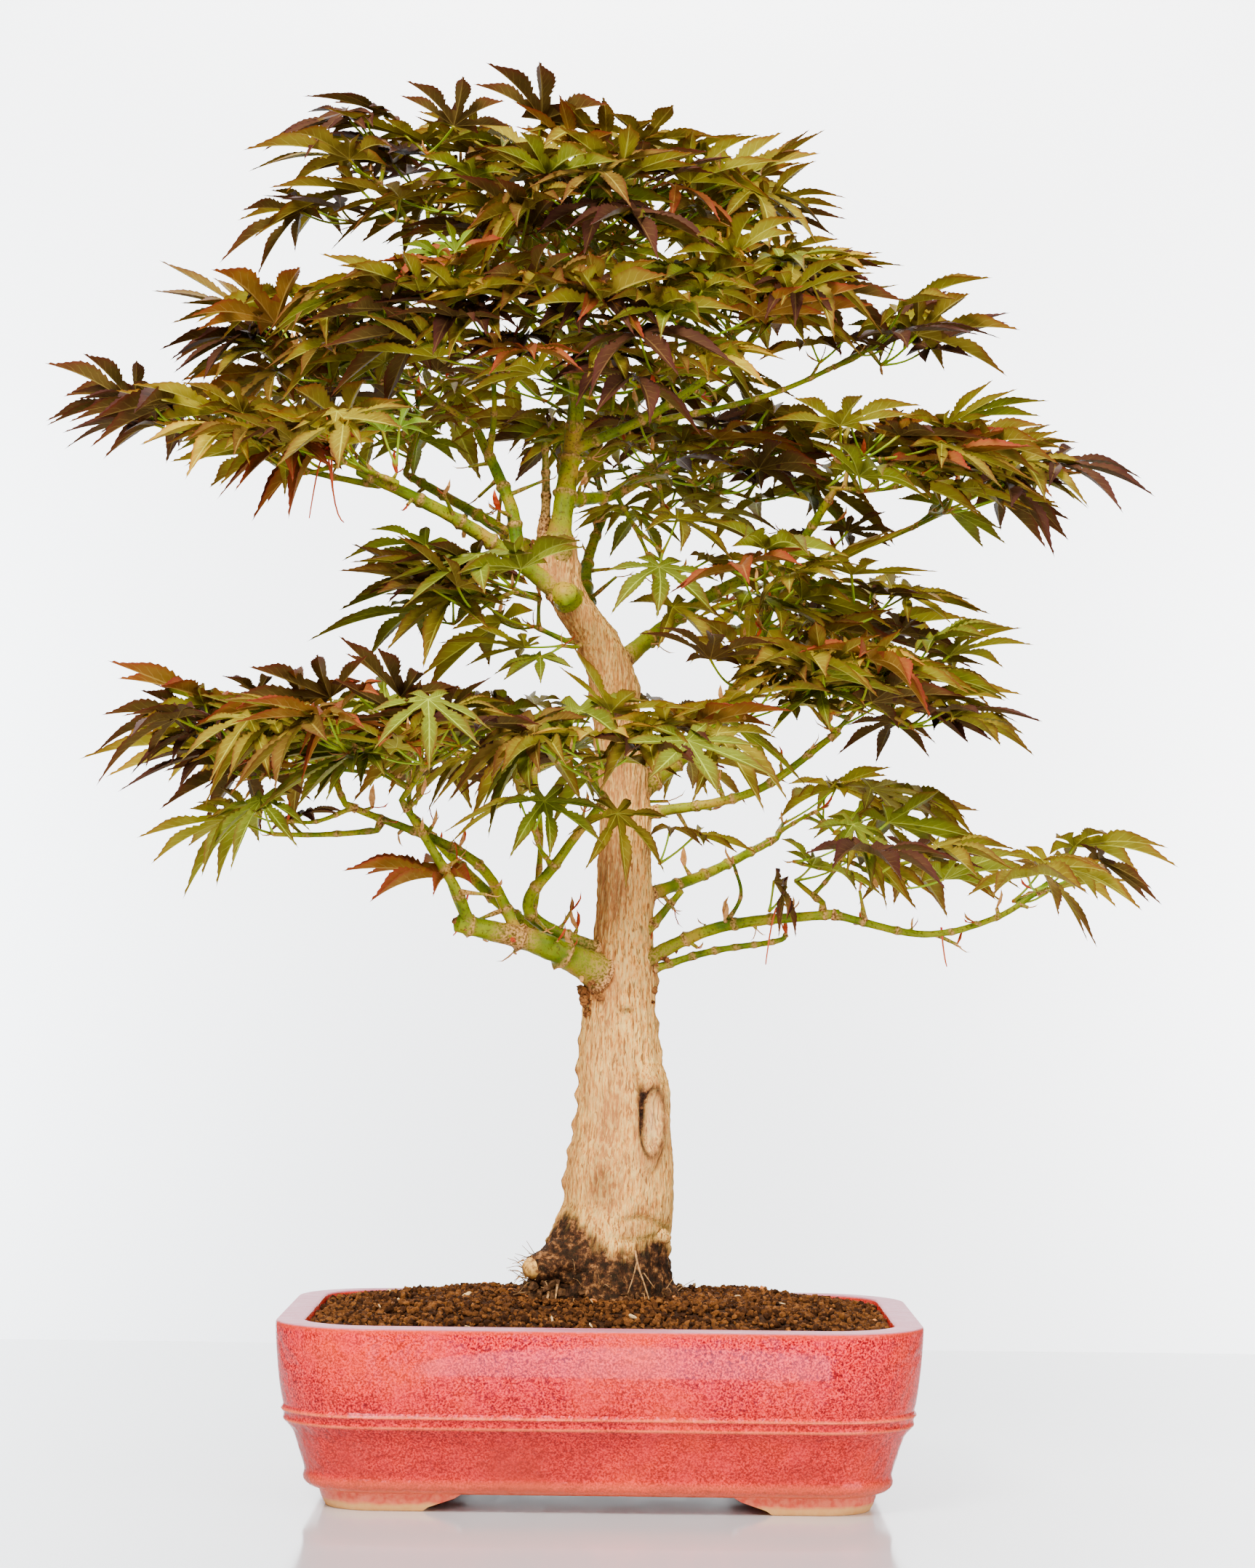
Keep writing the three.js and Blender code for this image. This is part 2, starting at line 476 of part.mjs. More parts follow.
// A closed surface that grows like a shoot: any of its triangles can be drawn out into a twig
class Skin {
  constructor(foot) {
    this.points = [];
    this.faces = new Set();
    const [a, b, c] = foot.map((place) => this.add(place));
    this.face(a, c, b);
    this.end = this.face(a, b, c);
  }

  add(place) {
    return this.points.push(place) - 1;
  }

  face(...corners) {
    this.faces.add(corners);
    return corners;
  }

  middle(face) {
    return face.reduce((sum, i) => sum.add(this.points[i]), new THREE.Vector3()).divideScalar(3);
  }

  normal(face) {
    const [a, b, c] = face.map((i) => this.points[i]);
    return b.clone().sub(a).cross(c.clone().sub(a)).normalize();
  }

  // Draws a face out to a ring of three places, and returns the new end with the six sides
  draw(face, ring) {
    this.faces.delete(face);
    const to = ring.map((place) => this.add(place));
    const sides = [0, 1, 2].flatMap((i) => {
      const j = (i + 1) % 3;
      return [this.face(face[i], face[j], to[j]), this.face(face[i], to[j], to[i])];
    });
    return { end: this.face(...to), sides };
  }

  // Draws a face out to a round end of its own at a place, square to the way it goes
  reach(face, place, way, radius) {
    const across = this.points[face[0]].clone().sub(this.middle(face)).projectOnPlane(way).normalize();
    const up = way.clone().cross(across);
    const ring = [0, 1, 2].map((i) => place.clone()
      .addScaledVector(across, Math.cos(i * Math.PI * 2 / 3) * radius)
      .addScaledVector(up, Math.sin(i * Math.PI * 2 / 3) * radius));
    return this.draw(face, ring);
  }

  // Ends a twig in a point, whose three faces can each carry a stalk
  sharpen(face, place) {
    this.faces.delete(face);
    const tip = this.add(place);
    return [0, 1, 2].map((i) => this.face(face[i], face[(i + 1) % 3], tip));
  }

  // Of some faces, the one that looks most nearly along a way
  facing(faces, way) {
    const facing = (face) => this.normal(face).dot(way);
    return faces.reduce((best, face) => (facing(face) > facing(best) ? face : best));
  }

  // Draws a face out as a stalk with a leaf at its end
  leaf(face, corners) {
    const [right, left, above, below] = [0, corners.length - 3, corners.length - 2, corners.length - 1];
    const turned = [[left, right, below], [right, below, left], [below, left, right]];
    const middle = this.middle(face);
    const way = corners[below].clone().sub(middle).normalize();
    const offset = (place, from) => place.clone().sub(from).projectOnPlane(way);
    const twist = (ring) => ring.reduce((sum, corner, i) => sum
      + offset(corners[corner], corners[below]).distanceTo(offset(this.points[face[i]], middle)), 0);
    const ring = turned.reduce((best, other) => (twist(other) < twist(best) ? other : best));
    const { end } = this.draw(face, ring.map((corner) => corners[corner]));
    this.faces.delete(end);
    const index = corners.map((corner, i) => (ring.includes(i) ? end[ring.indexOf(i)] : this.add(corner)));
    for (let i = 0; i <= left; i += 1) {
      const next = i === left ? right : i + 1;
      this.face(index[above], index[i], index[next]);
      if (i !== left) this.face(index[below], index[next], index[i]);
    }
  }

  geometry() {
    const geometry = new THREE.BufferGeometry();
    const positions = this.points.flatMap((p) => p.toArray());
    geometry.setAttribute('position', new THREE.Float32BufferAttribute(positions, 3));
    geometry.setIndex([...this.faces].flat());
    return geometry;
  }
}

const triangleRound = (place, way, radius) => {
  const across = new THREE.Vector3(0, 0, 1).cross(way);
  if (across.length() < 0.1) across.set(1, 0, 0);
  across.projectOnPlane(way).normalize();
  const up = way.clone().cross(across);
  return [0, 1, 2].map((i) => place.clone()
    .addScaledVector(across, Math.cos(i * Math.PI * 2 / 3) * radius)
    .addScaledVector(up, Math.sin(i * Math.PI * 2 / 3) * radius));
};

// A leaf with its stalk as a solid of its own, to test what it would touch
function leafSolid(leaf, corners) {
  const way = corners[corners.length - 1].clone().sub(leaf.node).normalize();
  const foot = leaf.node.clone().addScaledVector(way, CLEAR_OF_NODE);
  const skin = new Skin(triangleRound(foot, way, LEAF.petioleRadius));
  skin.leaf(skin.end, corners);
  return solid(skin.geometry());
}

// A mass keeps the space that lies nearer to its own middle, for its size, than to any other's, and
// its leaves may overhang the edge of it a little, between those of its neighbour
function insideOwnSpace(mass, point, overhang) {
  const size = ({ spread }) => (spread[0] + spread[1]) / 2 + CELL.reach;
  const away = (other) => distanceFlattened(point, vector(other.middle), CELL.flatness);
  const power = (other) => away(other) ** 2 - size(other) ** 2;
  const own = power(mass);
  return MASSES.every((other) => {
    if (other === mass) return true;
    const apart = vector(other.middle).sub(vector(mass.middle));
    apart.z *= CELL.flatness ** 2;
    return (power(other) - own) / (2 * apart.length()) > -overhang;
  });
}

const boxed = (shape) => ({ shape, box: shape.boundingBox() });
const boxesMeet = (a, b) => [0, 1, 2].every((i) => a.min[i] <= b.max[i] && b.min[i] <= a.max[i]);

function touches(shape, obstacles) {
  const box = shape.boundingBox();
  return obstacles.some((other) => boxesMeet(box, other.box) && !shape.intersect(other.shape).isEmpty());
}

const twigSolid = ({ places, radii }, grow) => solid(tube(places, radii, grow, 3, places.length - 1));

// Draws a twig out of a face, with its side twigs and its leaves
function addTwig(skin, face, twig) {
  const [from, to] = twig.places.slice(-2);
  const way = to.clone().sub(from).normalize();
  const length = from.distanceTo(to);
  let end = face;
  if (twig.places.length > 2) {
    end = skin.reach(end, from, way, twig.radii[0]).end;
  }
  const waiting = [];
  for (const share of JOINT_SHARES) {
    const here = twig.joints.filter((joint) => joint.share === share && joint.twig.fits);
    if (!here.length) continue;
    const radius = THREE.MathUtils.lerp(twig.radii[0], twig.radii[1], share);
    const at = share * length;
    end = skin.reach(end, from.clone().addScaledVector(way, at - JOINT_LENGTH / 2), way, radius).end;
    const joint = skin.reach(end, from.clone().addScaledVector(way, at + JOINT_LENGTH / 2), way, radius);
    end = joint.end;
    const free = [...joint.sides];
    for (const { twig: side } of here) {
      const goes = side.places[1].clone().sub(side.places[0]).normalize();
      const root = skin.facing(free, goes);
      free.splice(free.indexOf(root), 1);
      waiting.push([root, side]);
    }
  }
  end = skin.reach(end, to, way, twig.radii[1]).end;
  const faces = skin.sharpen(end, to.clone().addScaledVector(way, twig.radii[1] * 1.5));
  for (const { corners } of twig.kept) {
    const goes = corners[corners.length - 1].clone().sub(to).normalize();
    const root = skin.facing(faces, goes);
    faces.splice(faces.indexOf(root), 1);
    skin.leaf(root, corners);
  }
  waiting.forEach(([root, side]) => addTwig(skin, root, side));
}

// A twig or a leaf is left out where it would leave the mass's space or touch what stands there already
function makeMass(mass, limbs, leavesSoFar) {
  const wood = MASSES.flatMap(({ twigs }) => twigs);
  const stems = MASSES.filter((other) => other !== mass).map(({ stem }) => stem);
  for (const twig of mass.twigs) {
    const isStem = twig === mass.twigs[0];
    const carries = ({ joints, fits }) => fits && joints.some((joint) => joint.twig === twig);
    twig.fits = isStem || (mass.twigs.some(carries) && insideOwnSpace(mass, twig.places[1], 0)
      && !touches(twig.solid.shape, [...limbs, ...stems]));
    twig.kept = [];
    if (!twig.fits) continue;
    const otherWood = wood.filter((other) => other !== twig).map(({ solid: body }) => body);
    const others = [...limbs, ...stems, ...otherWood];
    for (const leaf of twig.leaves) {
      for (const lift of LEAF_LIFTS) {
        const corners = bladePoints(leaf, lift);
        if (!corners.every((corner) => insideOwnSpace(mass, corner, CELL.overhang))) continue;
        const shape = leafSolid(leaf, corners);
        if (touches(shape, others) || touches(shape, leavesSoFar)) continue;
        leavesSoFar.push(boxed(shape));
        twig.kept.push({ corners });
        break;
      }
    }
  }
  const [first, second] = mass.twigs[0].places;
  const way = second.clone().sub(first).normalize();
  const skin = new Skin(triangleRound(first, way, SHOOT.stemRadius));
  addTwig(skin, skin.end, mass.twigs[0]);
  return solid(skin.geometry());
}

// The whole bonsai

const bonsai = new THREE.Group();
const place = (name, shape, finish) => bonsai.add(meshOf(name, shape, material(finish)));

place('pot', makePot(), COLOURS.glaze);
for (const [along, sideways] of [['left', -1], ['right', 1]]) {
  for (const [across, backwards] of [['front', -1], ['back', 1]]) {
    place(`foot_${across}_${along}`, makeFoot(sideways, backwards), COLOURS.fired);
  }
}
place('soil', makeSoil(), COLOURS.soil);
place('trunk', makeTrunk(0), COLOURS.bark);

const grownLimbs = new Map([['trunk', makeTrunk(GAP)]]);
BOUGHS.forEach((bough) => grownLimbs.set(bough.name, makeBough(bough, GAP)));
BOUGHS.forEach((bough, index) => {
  const earlier = [...grownLimbs.values()].slice(0, index + 1);
  const shape = wholeBody(makeBough(bough, 0).subtract(wasm.Manifold.union(earlier)));
  place(bough.name, shape, COLOURS.youngBark);
});

MASSES.forEach((mass, index) => {
  const random = seededRandom(7919 * (index + 1));
  mass.twigs = growTwigs(mass, random);
  mass.twigs.forEach((twig) => {
    twig.leaves = leavesOf(twig, mass, random);
    twig.solid = boxed(twigSolid(twig, 0));
  });
  mass.stem = boxed(twigSolid(mass.twigs[0], SHOOT.clearOfLimbs));
});
const limbs = [...grownLimbs.values()].map(boxed);
const leavesSoFar = [];
for (const mass of MASSES) place(mass.name, makeMass(mass, limbs, leavesSoFar), COLOURS.leaf);

const group = new THREE.Group();
group.add(bonsai);
const middle = new THREE.Box3().setFromObject(bonsai).getCenter(new THREE.Vector3());
bonsai.position.set(-middle.x, -middle.y, 0);

export default group;
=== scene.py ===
"""A bonsai Japanese maple in a coral red glazed pot, dressed for the studio."""

import math
import random

import bpy
import numpy as np
from mathutils import Matrix, Vector, noise


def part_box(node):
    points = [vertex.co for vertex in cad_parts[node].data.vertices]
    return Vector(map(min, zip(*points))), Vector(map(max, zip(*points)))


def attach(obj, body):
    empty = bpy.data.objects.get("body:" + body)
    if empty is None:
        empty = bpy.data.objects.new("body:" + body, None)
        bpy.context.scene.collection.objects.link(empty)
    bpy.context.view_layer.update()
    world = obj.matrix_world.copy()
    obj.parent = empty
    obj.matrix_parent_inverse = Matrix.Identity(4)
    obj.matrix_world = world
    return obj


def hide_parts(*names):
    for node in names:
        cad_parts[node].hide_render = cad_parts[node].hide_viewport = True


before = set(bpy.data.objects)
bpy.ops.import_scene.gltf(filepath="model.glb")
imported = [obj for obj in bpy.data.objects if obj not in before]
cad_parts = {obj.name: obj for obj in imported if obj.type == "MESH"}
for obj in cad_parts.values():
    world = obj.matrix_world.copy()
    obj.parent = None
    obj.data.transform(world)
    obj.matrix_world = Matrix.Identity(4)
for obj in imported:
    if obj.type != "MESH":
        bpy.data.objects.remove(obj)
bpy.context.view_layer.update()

# Pot: a stoneware tray with rounded corners, thrown and pressed as one shell. A belt between two
# raised lines runs round it, its rim is broad and flat, and it narrows towards a lip over the feet.
# The coral red glaze is finely mottled, breaks to cream on every raised line, and is very glossy.
POT_LENGTH = 0.354
POT_WIDTH = 0.257
POT_CORNER = 0.056
POT_WALL = 0.016
RIM_ABOVE = 0.0998
DRAIN_RADIUS = 0.011
DRAIN_FROM_MIDDLE = 0.085
POT_PROFILE = [
    (0.0, 100.0), (0.2, 93.0), (0.8, 84.0), (1.7, 74.0), (2.8, 65.0), (3.9, 58.5), (4.6, 55.8), (4.9, 54.8),
    (4.5, 53.8), (3.8, 53.0), (3.6, 52.3), (4.1, 51.5), (4.9, 50.8), (5.2, 49.8), (5.2, 48.4), (4.9, 47.6),
    (4.9, 46.8), (5.6, 46.0), (7.2, 44.4), (8.8, 42.6), (10.3, 40.6), (12.4, 34.7), (14.2, 29.0),
    (15.6, 24.7), (16.7, 21.0), (17.0, 19.4), (16.6, 17.9), (16.2, 16.4), (16.4, 14.6), (17.4, 13.0),
    (19.4, 11.4), (23.0, 10.0),
]
pot_low, pot_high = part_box("pot")
HOME = Vector(((pot_low.x + pot_high.x) / 2, (pot_low.y + pot_high.y) / 2, 0.0))


def deselect():
    if bpy.context.object and bpy.context.object.mode != "OBJECT":
        bpy.ops.object.mode_set(mode="OBJECT")
    bpy.ops.object.select_all(action="DESELECT")


def only(piece):
    deselect()
    piece.select_set(True)
    bpy.context.view_layer.objects.active = piece


def settle(piece, finish, *nodes):
    """Puts the piece's place into its mesh, hangs it on the root, and hides the parts it stands for."""
    only(piece)
    bpy.ops.object.transform_apply(location=True, rotation=True, scale=True)
    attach(piece, "root")
    if nodes:
        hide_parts(*nodes)


def rounded_plate(name, height, inset, segments):
    """A flat plate in the outline of the pot, drawn in from the rim."""
    deselect()
    bpy.ops.mesh.primitive_plane_add(size=1, location=(HOME.x, HOME.y, height))
    plate = bpy.context.object
    plate.name = name
    bpy.ops.object.mode_set(mode="EDIT")
    bpy.ops.mesh.select_all(action="SELECT")
    bpy.ops.transform.resize(value=(POT_LENGTH - 2 * inset, POT_WIDTH - 2 * inset, 1))
    bpy.ops.mesh.bevel(affect="VERTICES", offset=POT_CORNER - inset, segments=segments, profile=0.5)
    bpy.ops.mesh.select_all(action="SELECT")
    return plate


def finish_with(piece, kind, **settings):
    only(piece)
    modifier = piece.modifiers.new(kind.title(), kind)
    for key, value in settings.items():
        setattr(modifier, key, value)
    bpy.ops.object.modifier_apply(modifier=modifier.name)


def smooth(piece, degrees):
    only(piece)
    bpy.ops.object.shade_smooth_by_angle(angle=math.radians(degrees))


class Paint:
    """A material in the making: nodes give it colours and numbers, which are put on its surface."""

    def __init__(self, name):
        self.material = bpy.data.materials.new(name)
        self.material.use_nodes = True
        self.tree = self.material.node_tree
        self.tree.nodes.clear()
        self.shader = self.node("BsdfPrincipled")
        self.node("OutputMaterial", Surface=self.shader.outputs[0])
        self.spot = self.node("TexCoord").outputs

    def plug(self, socket, value):
        """Feeds a socket with a number, with a colour or with what another node gives."""
        if isinstance(value, bpy.types.NodeSocket):
            self.tree.links.new(value, socket)
        elif isinstance(value, tuple) and len(value) < len(socket.default_value):
            socket.default_value = (*value, 1.0)
        else:
            socket.default_value = value

    def node(self, kind, **inputs):
        made = self.tree.nodes.new("ShaderNode" + kind)
        for name, value in inputs.items():
            self.plug(made.inputs[name.replace("_", " ")], value)
        return made

    def noise(self, scale, detail=2, roughness=0.5, distortion=0, place=None):
        return self.node("TexNoise", Vector=place or self.spot["Object"], Scale=scale, Detail=detail,
                         Roughness=roughness, Distortion=distortion).outputs["Fac"]

    def split(self, kind):
        """The three numbers of a place on the piece, or of its map."""
        return self.node("SeparateXYZ", Vector=self.spot[kind]).outputs

    def marks(self):
        """The marks painted on the piece's points, as red, green and blue."""
        painted = self.node("Attribute")
        painted.attribute_name = "marks"
        return self.node("SeparateColor", Color=painted.outputs["Color"]).outputs

    def mix(self, share, under, over):
        made = self.node("Mix")
        made.data_type = "RGBA"
        for index, value in ((0, share), (6, under), (7, over)):
            self.plug(made.inputs[index], value)
        return made.outputs[2]

    def band(self, value, *stops):
        """Turns a number into a grey or a colour by stops of (place, shade)."""
        made = self.node("ValToRGB", Fac=value)
        ramp = made.color_ramp.elements
        while len(ramp) < len(stops):
            ramp.new(0.5)
        for element, (place, shade) in zip(ramp, stops):
            element.position = place
            element.color = (*(shade if isinstance(shade, tuple) else (shade,) * 3), 1.0)
        return made.outputs[0]

    def maths(self, how, a, b=0.5, c=0.0):
        made = self.node("Math")
        made.operation = how
        for index, value in enumerate((a, b, c)):
            self.plug(made.inputs[index], value)
        return made.outputs[0]

    def bump(self, height, strength, distance, **under):
        made = self.node("Bump", Strength=strength, Distance=distance, Height=height, **under)
        return made.outputs[0]

    def surface(self, **inputs):
        for name, value in inputs.items():
            self.plug(self.shader.inputs[name.replace("_", " ")], value)
        return self.material


def glaze_material():
    paint = Paint("coral_red_glaze")
    height = paint.split("Object")["Z"]
    fine, broad, clouds = paint.noise(860, 3, 0.7), paint.noise(16, 3), paint.noise(60, 4)
    red = paint.band(
        fine, (0.42, (0.14, 0.002, 0.005)), (0.51, (0.78, 0.004, 0.010)), (0.63, (1.0, 0.060, 0.056)),
    )
    warm = paint.mix(paint.band(broad, (0.48, 0.0), (0.72, 0.5)), red, (0.96, 0.070, 0.014))
    cool = paint.mix(paint.band(clouds, (0.5, 0.0), (0.75, 0.35)), warm, (0.92, 0.020, 0.055))
    low = paint.band(paint.maths("DIVIDE", height, 0.1), (0.12, 0.55), (0.36, 0.42), (0.58, 0.10), (0.9, 0.0))
    uneven = paint.band(broad, (0.36, 1.5), (0.56, 0.55))
    brown = paint.mix(paint.maths("MULTIPLY", low, uneven), cool, (0.40, 0.030, 0.018))
    tall = paint.maths("MULTIPLY", height, 10.0)
    lines = paint.band(
        tall, (0.458, 0.0), (0.466, 0.7), (0.474, 0.5), (0.480, 0.0), (0.516, 0.0), (0.523, 0.7),
        (0.530, 0.5), (0.538, 0.0),
    )
    broken = paint.maths("MULTIPLY", lines, paint.band(clouds, (0.3, 0.45), (0.6, 1.0)))
    lined = paint.mix(broken, brown, (1.0, 0.22, 0.08))
    lip = paint.band(tall, (0.10, 0.7), (0.125, 0.45), (0.16, 0.30), (0.19, 0.0))
    lipped = paint.mix(lip, lined, (0.80, 0.16, 0.06))
    # Painted shade: a darker orange-brown band on the rounded edge under the rim
    under_rim_shade = paint.band(tall, (0.965, 0.0), (0.985, 0.55), (0.993, 0.7))
    under_rim_shaded = paint.mix(under_rim_shade, lipped, (0.70, 0.050, 0.016))
    # The rim's flat top is painted a paler lilac pink, partly the glaze and partly a painted sheen
    edge = paint.band(tall, (0.9935, 0.0), (0.9985, 0.9))
    rim = paint.mix(fine, (0.44, 0.10, 0.16), (0.68, 0.31, 0.40))
    return paint.surface(
        Base_Color=paint.mix(edge, under_rim_shaded, rim),
        Normal=paint.bump(fine, 0.30, 0.0005, Normal=paint.bump(paint.noise(110), 1.0, 0.0022)),
        Roughness=paint.maths("MULTIPLY_ADD", edge, 0.35, paint.band(clouds, (0.3, 0.16), (0.7, 0.30))),
        Specular_IOR_Level=0.22, Specular_Tint=(1.0, 0.40, 0.55), Coat_Weight=0.08, Coat_Roughness=0.05,
    )


pot = rounded_plate("pot_glazed", POT_PROFILE[0][1] / 1000, 0.0, 18)
bpy.ops.mesh.flip_normals()
for (inset, height), (next_inset, next_height) in zip(POT_PROFILE, POT_PROFILE[1:]):
    drawn_in = (next_inset - inset) / 1000
    down = (height - next_height) / 1000
    if drawn_in > 0:
        bpy.ops.mesh.inset(thickness=drawn_in, depth=down)
    else:
        bpy.ops.mesh.extrude_region_move(TRANSFORM_OT_translate={"value": (0, 0, -down)})
        bpy.ops.transform.resize(value=(
            (POT_LENGTH / 2 - next_inset / 1000) / (POT_LENGTH / 2 - inset / 1000),
            (POT_WIDTH / 2 - next_inset / 1000) / (POT_WIDTH / 2 - inset / 1000),
            1,
        ))
finish_with(pot, "SOLIDIFY", thickness=POT_WALL, offset=-1.0, use_even_offset=True)
only(pot)
bpy.ops.object.mode_set(mode="EDIT")
bpy.ops.mesh.select_mode(type="EDGE")
bpy.ops.mesh.select_all(action="DESELECT")
bpy.ops.object.mode_set(mode="OBJECT")
for edge in pot.data.edges:
    edge.select = all((pot.matrix_world @ pot.data.vertices[i].co).z > RIM_ABOVE for i in edge.vertices)
bpy.ops.object.mode_set(mode="EDIT")
bpy.ops.mesh.bevel(affect="EDGES", offset=0.0016, segments=4, profile=0.5)
bpy.ops.object.mode_set(mode="OBJECT")
for side in (-1, 1):
    deselect()
    bpy.ops.mesh.primitive_cylinder_add(
        vertices=40, radius=DRAIN_RADIUS, depth=0.05,
        location=(HOME.x + side * DRAIN_FROM_MIDDLE, HOME.y, 0.02),
    )
    drain = bpy.context.object
    finish_with(pot, "BOOLEAN", object=drain, operation="DIFFERENCE", solver="EXACT")
    bpy.data.objects.remove(drain)
smooth(pot, 35)
pot.data.materials.clear()
pot.data.materials.append(glaze_material())
settle(pot, "glaze", "pot")


# Feet: four low L-shaped feet pressed on under the corners, with ends cut away in a curve. The
# glaze runs thin and orange over them, and the edge they stand on is wiped bare to the buff clay.

# Each level: height, how far in from the rim, and where the foot ends along the front and the side
FOOT_LEVELS = [(10.0, 24.6, 73.0, 43.0), (7.5, 25.2, 77.0, 46.5), (5.0, 26.0, 84.0, 52.5),
               (2.5, 27.4, 91.0, 57.0), (0.6, 28.4, 93.6, 58.2), (0.0, 29.2, 94.4, 58.8)]
FOOT_DEPTH = 15.0
CORNER_STEPS = 14


def foot_material():
    paint = Paint("foot_glaze_and_bare_clay")
    height = paint.split("Object")["Z"]
    fine, broad = paint.noise(320, 3), paint.noise(70)
    thin = paint.band(fine, (0.35, (0.78, 0.075, 0.035)), (0.65, (0.96, 0.20, 0.10)))
    wavy = paint.maths("MULTIPLY_ADD", broad, 0.004, height)
    wiped = paint.band(paint.maths("MULTIPLY", wavy, 100.0), (0.52, 1.0), (0.72, 0.0))
    clay = paint.mix(fine, (0.84, 0.36, 0.09), (0.96, 0.58, 0.22))
    return paint.surface(
        Base_Color=paint.mix(wiped, thin, clay), Roughness=paint.band(wiped, (0.0, 0.2), (1.0, 0.65)),
        Coat_Weight=paint.band(wiped, (0.0, 0.3), (1.0, 0.0)), Coat_Roughness=0.08,
        Specular_Tint=(1.0, 0.45, 0.35),
    )


def rim_corner(inset, quarter=0):
    """A rounded corner of the rim, drawn in from it, in millimetres from the pot's middle."""
    side_x, side_y = ((1, 1), (-1, 1), (-1, -1), (1, -1))[quarter]
    radius = max(POT_CORNER * 1000 - inset, 3.0)
    x, y = POT_LENGTH * 500 - inset - radius, POT_WIDTH * 500 - inset - radius
    turns = [(quarter + step / CORNER_STEPS) * math.pi / 2 for step in range(CORNER_STEPS + 1)]
    return [(side_x * x + radius * math.cos(turn), side_y * y + radius * math.sin(turn)) for turn in turns]


def foot_ring(height, inset, end_x, end_y, right, back):
    """One level of a foot: along its outer wall from the side to the front, and back inside it."""
    outer, inner = rim_corner(inset), rim_corner(inset + FOOT_DEPTH)
    ring = [(outer[0][0], end_y), *outer, (end_x, outer[-1][1])]
    ring += [(end_x, inner[-1][1]), *inner[::-1], (inner[0][0], end_y)]
    ring = [(x * right, y * back, height) for x, y in ring]
    return ring if right * back > 0 else ring[::-1]


def ring_faces(levels, count):
    """Faces between rings of points, each ring closed."""
    return [
        (level * count + i, level * count + (i + 1) % count,
         (level + 1) * count + (i + 1) % count, (level + 1) * count + i)
        for level in range(levels - 1) for i in range(count)
    ]


def placed(name, data):
    """A new object in the scene."""
    made = bpy.data.objects.new(name, data)
    bpy.context.scene.collection.objects.link(made)
    return made


def lofted(name, rings):
    """A closed mesh through rings of equally many points, in millimetres from the pot's middle."""
    count = len(rings[0])
    points = [tuple(HOME + Vector(point) / 1000) for ring in rings for point in ring]
    last = (len(rings) - 1) * count
    mesh = bpy.data.meshes.new(name)
    mesh.from_pydata(points, [], [
        *ring_faces(len(rings), count), tuple(range(count))[::-1], tuple(last + i for i in range(count)),
    ])
    return placed(name, mesh)


bare_clay = foot_material()
for across, back in (("front", -1), ("back", 1)):
    for along, right in (("left", -1), ("right", 1)):
        rings = [foot_ring(*level, right, back) for level in FOOT_LEVELS[::-1]]
        foot = lofted(f"foot_{across}_{along}_clay", rings)
        foot.data.materials.append(bare_clay)
        smooth(foot, 40)
        settle(foot, "fired_clay", f"foot_{across}_{along}")


# Soil: fired clay granules heaped towards the trunk, dark brown when damp, over a body of the same.
# Between them lie paler chips of pumice and bark, and a few stray roots come through.
SIDE_STEPS = 40
# Levels of the body in the pot: how far in from the rim, and height
SOIL_LEVELS = [(28.0, 26.0), (18.0, 55.0), (16.6, 95.0)]
HEAP_EDGE = 17.0
# The heap above them: the share of the way from the middle to its edge, and height
HEAP = [(0.49, 108.0), (0.64, 105.1), (0.78, 101.9), (0.90, 98.9), (1.0, 96.8)]
HEAP_LUMPS = {"height": 2.2, "along": 12.5, "across": 11.5, "turn": 0.8}
GROUND = 108.0
UNDER_GRANULES = 1.4
GRANULES = 9500
CHIPS = 46


def inside_rim(x, y, inset):
    """True within the pot's outline drawn in from the rim."""
    half_x, half_y = POT_LENGTH * 500 - inset, POT_WIDTH * 500 - inset
    corner = POT_CORNER * 1000 - inset
    past_x, past_y = max(abs(x) - half_x + corner, 0.0), max(abs(y) - half_y + corner, 0.0)
    return math.hypot(past_x, past_y) < corner


def soil_height(x, y):
    """Height of the heap, from the rim's inside up to the foot of the trunk, with its lumps."""
    low, high = 0.0, 1.0
    for _ in range(9):
        share = (low + high) / 2
        if inside_rim(x / share, y / share, HEAP_EDGE):
            high = share
        else:
            low = share
    height = float(np.interp(high, *zip(*HEAP)))
    foot = HEAP[0][0]
    slope = math.sin(math.pi * max(0.0, high - foot) / (1 - foot))
    lump = math.sin(x / HEAP_LUMPS["along"] + HEAP_LUMPS["turn"]) * math.cos(y / HEAP_LUMPS["across"])
    fine = noise.noise(Vector((x, y, 9.0)) / 7.0) * 0.9 * min(1.0, (1.02 - high) * 8)
    return height + slope * HEAP_LUMPS["height"] * lump + fine


def soil_ring(inset, height, share=1.0):
    """A closed ring in the rim's outline, with points close enough to follow the heap's lumps."""
    ring = []
    for quarter in range(4):
        corner = rim_corner(inset, quarter)
        (x, y), (next_x, next_y) = corner[-1], rim_corner(inset, (quarter + 1) % 4)[0]
        ring += corner
        for part in range(1, SIDE_STEPS):
            ring.append((x + (next_x - x) * part / SIDE_STEPS, y + (next_y - y) * part / SIDE_STEPS))
    ring = [(x * share, y * share) for x, y in ring]
    return [(x, y, soil_height(x, y) - UNDER_GRANULES if height is None else height) for x, y in ring]


def earth_material(name, dark, light, roughness=0.9):
    paint = Paint(name)
    grain = paint.noise(340, 4, 0.7)
    return paint.surface(
        Base_Color=paint.band(grain, (0.32, dark), (0.70, light)), Normal=paint.bump(grain, 0.7, 0.0008),
        Roughness=roughness, Specular_IOR_Level=0.1,
    )


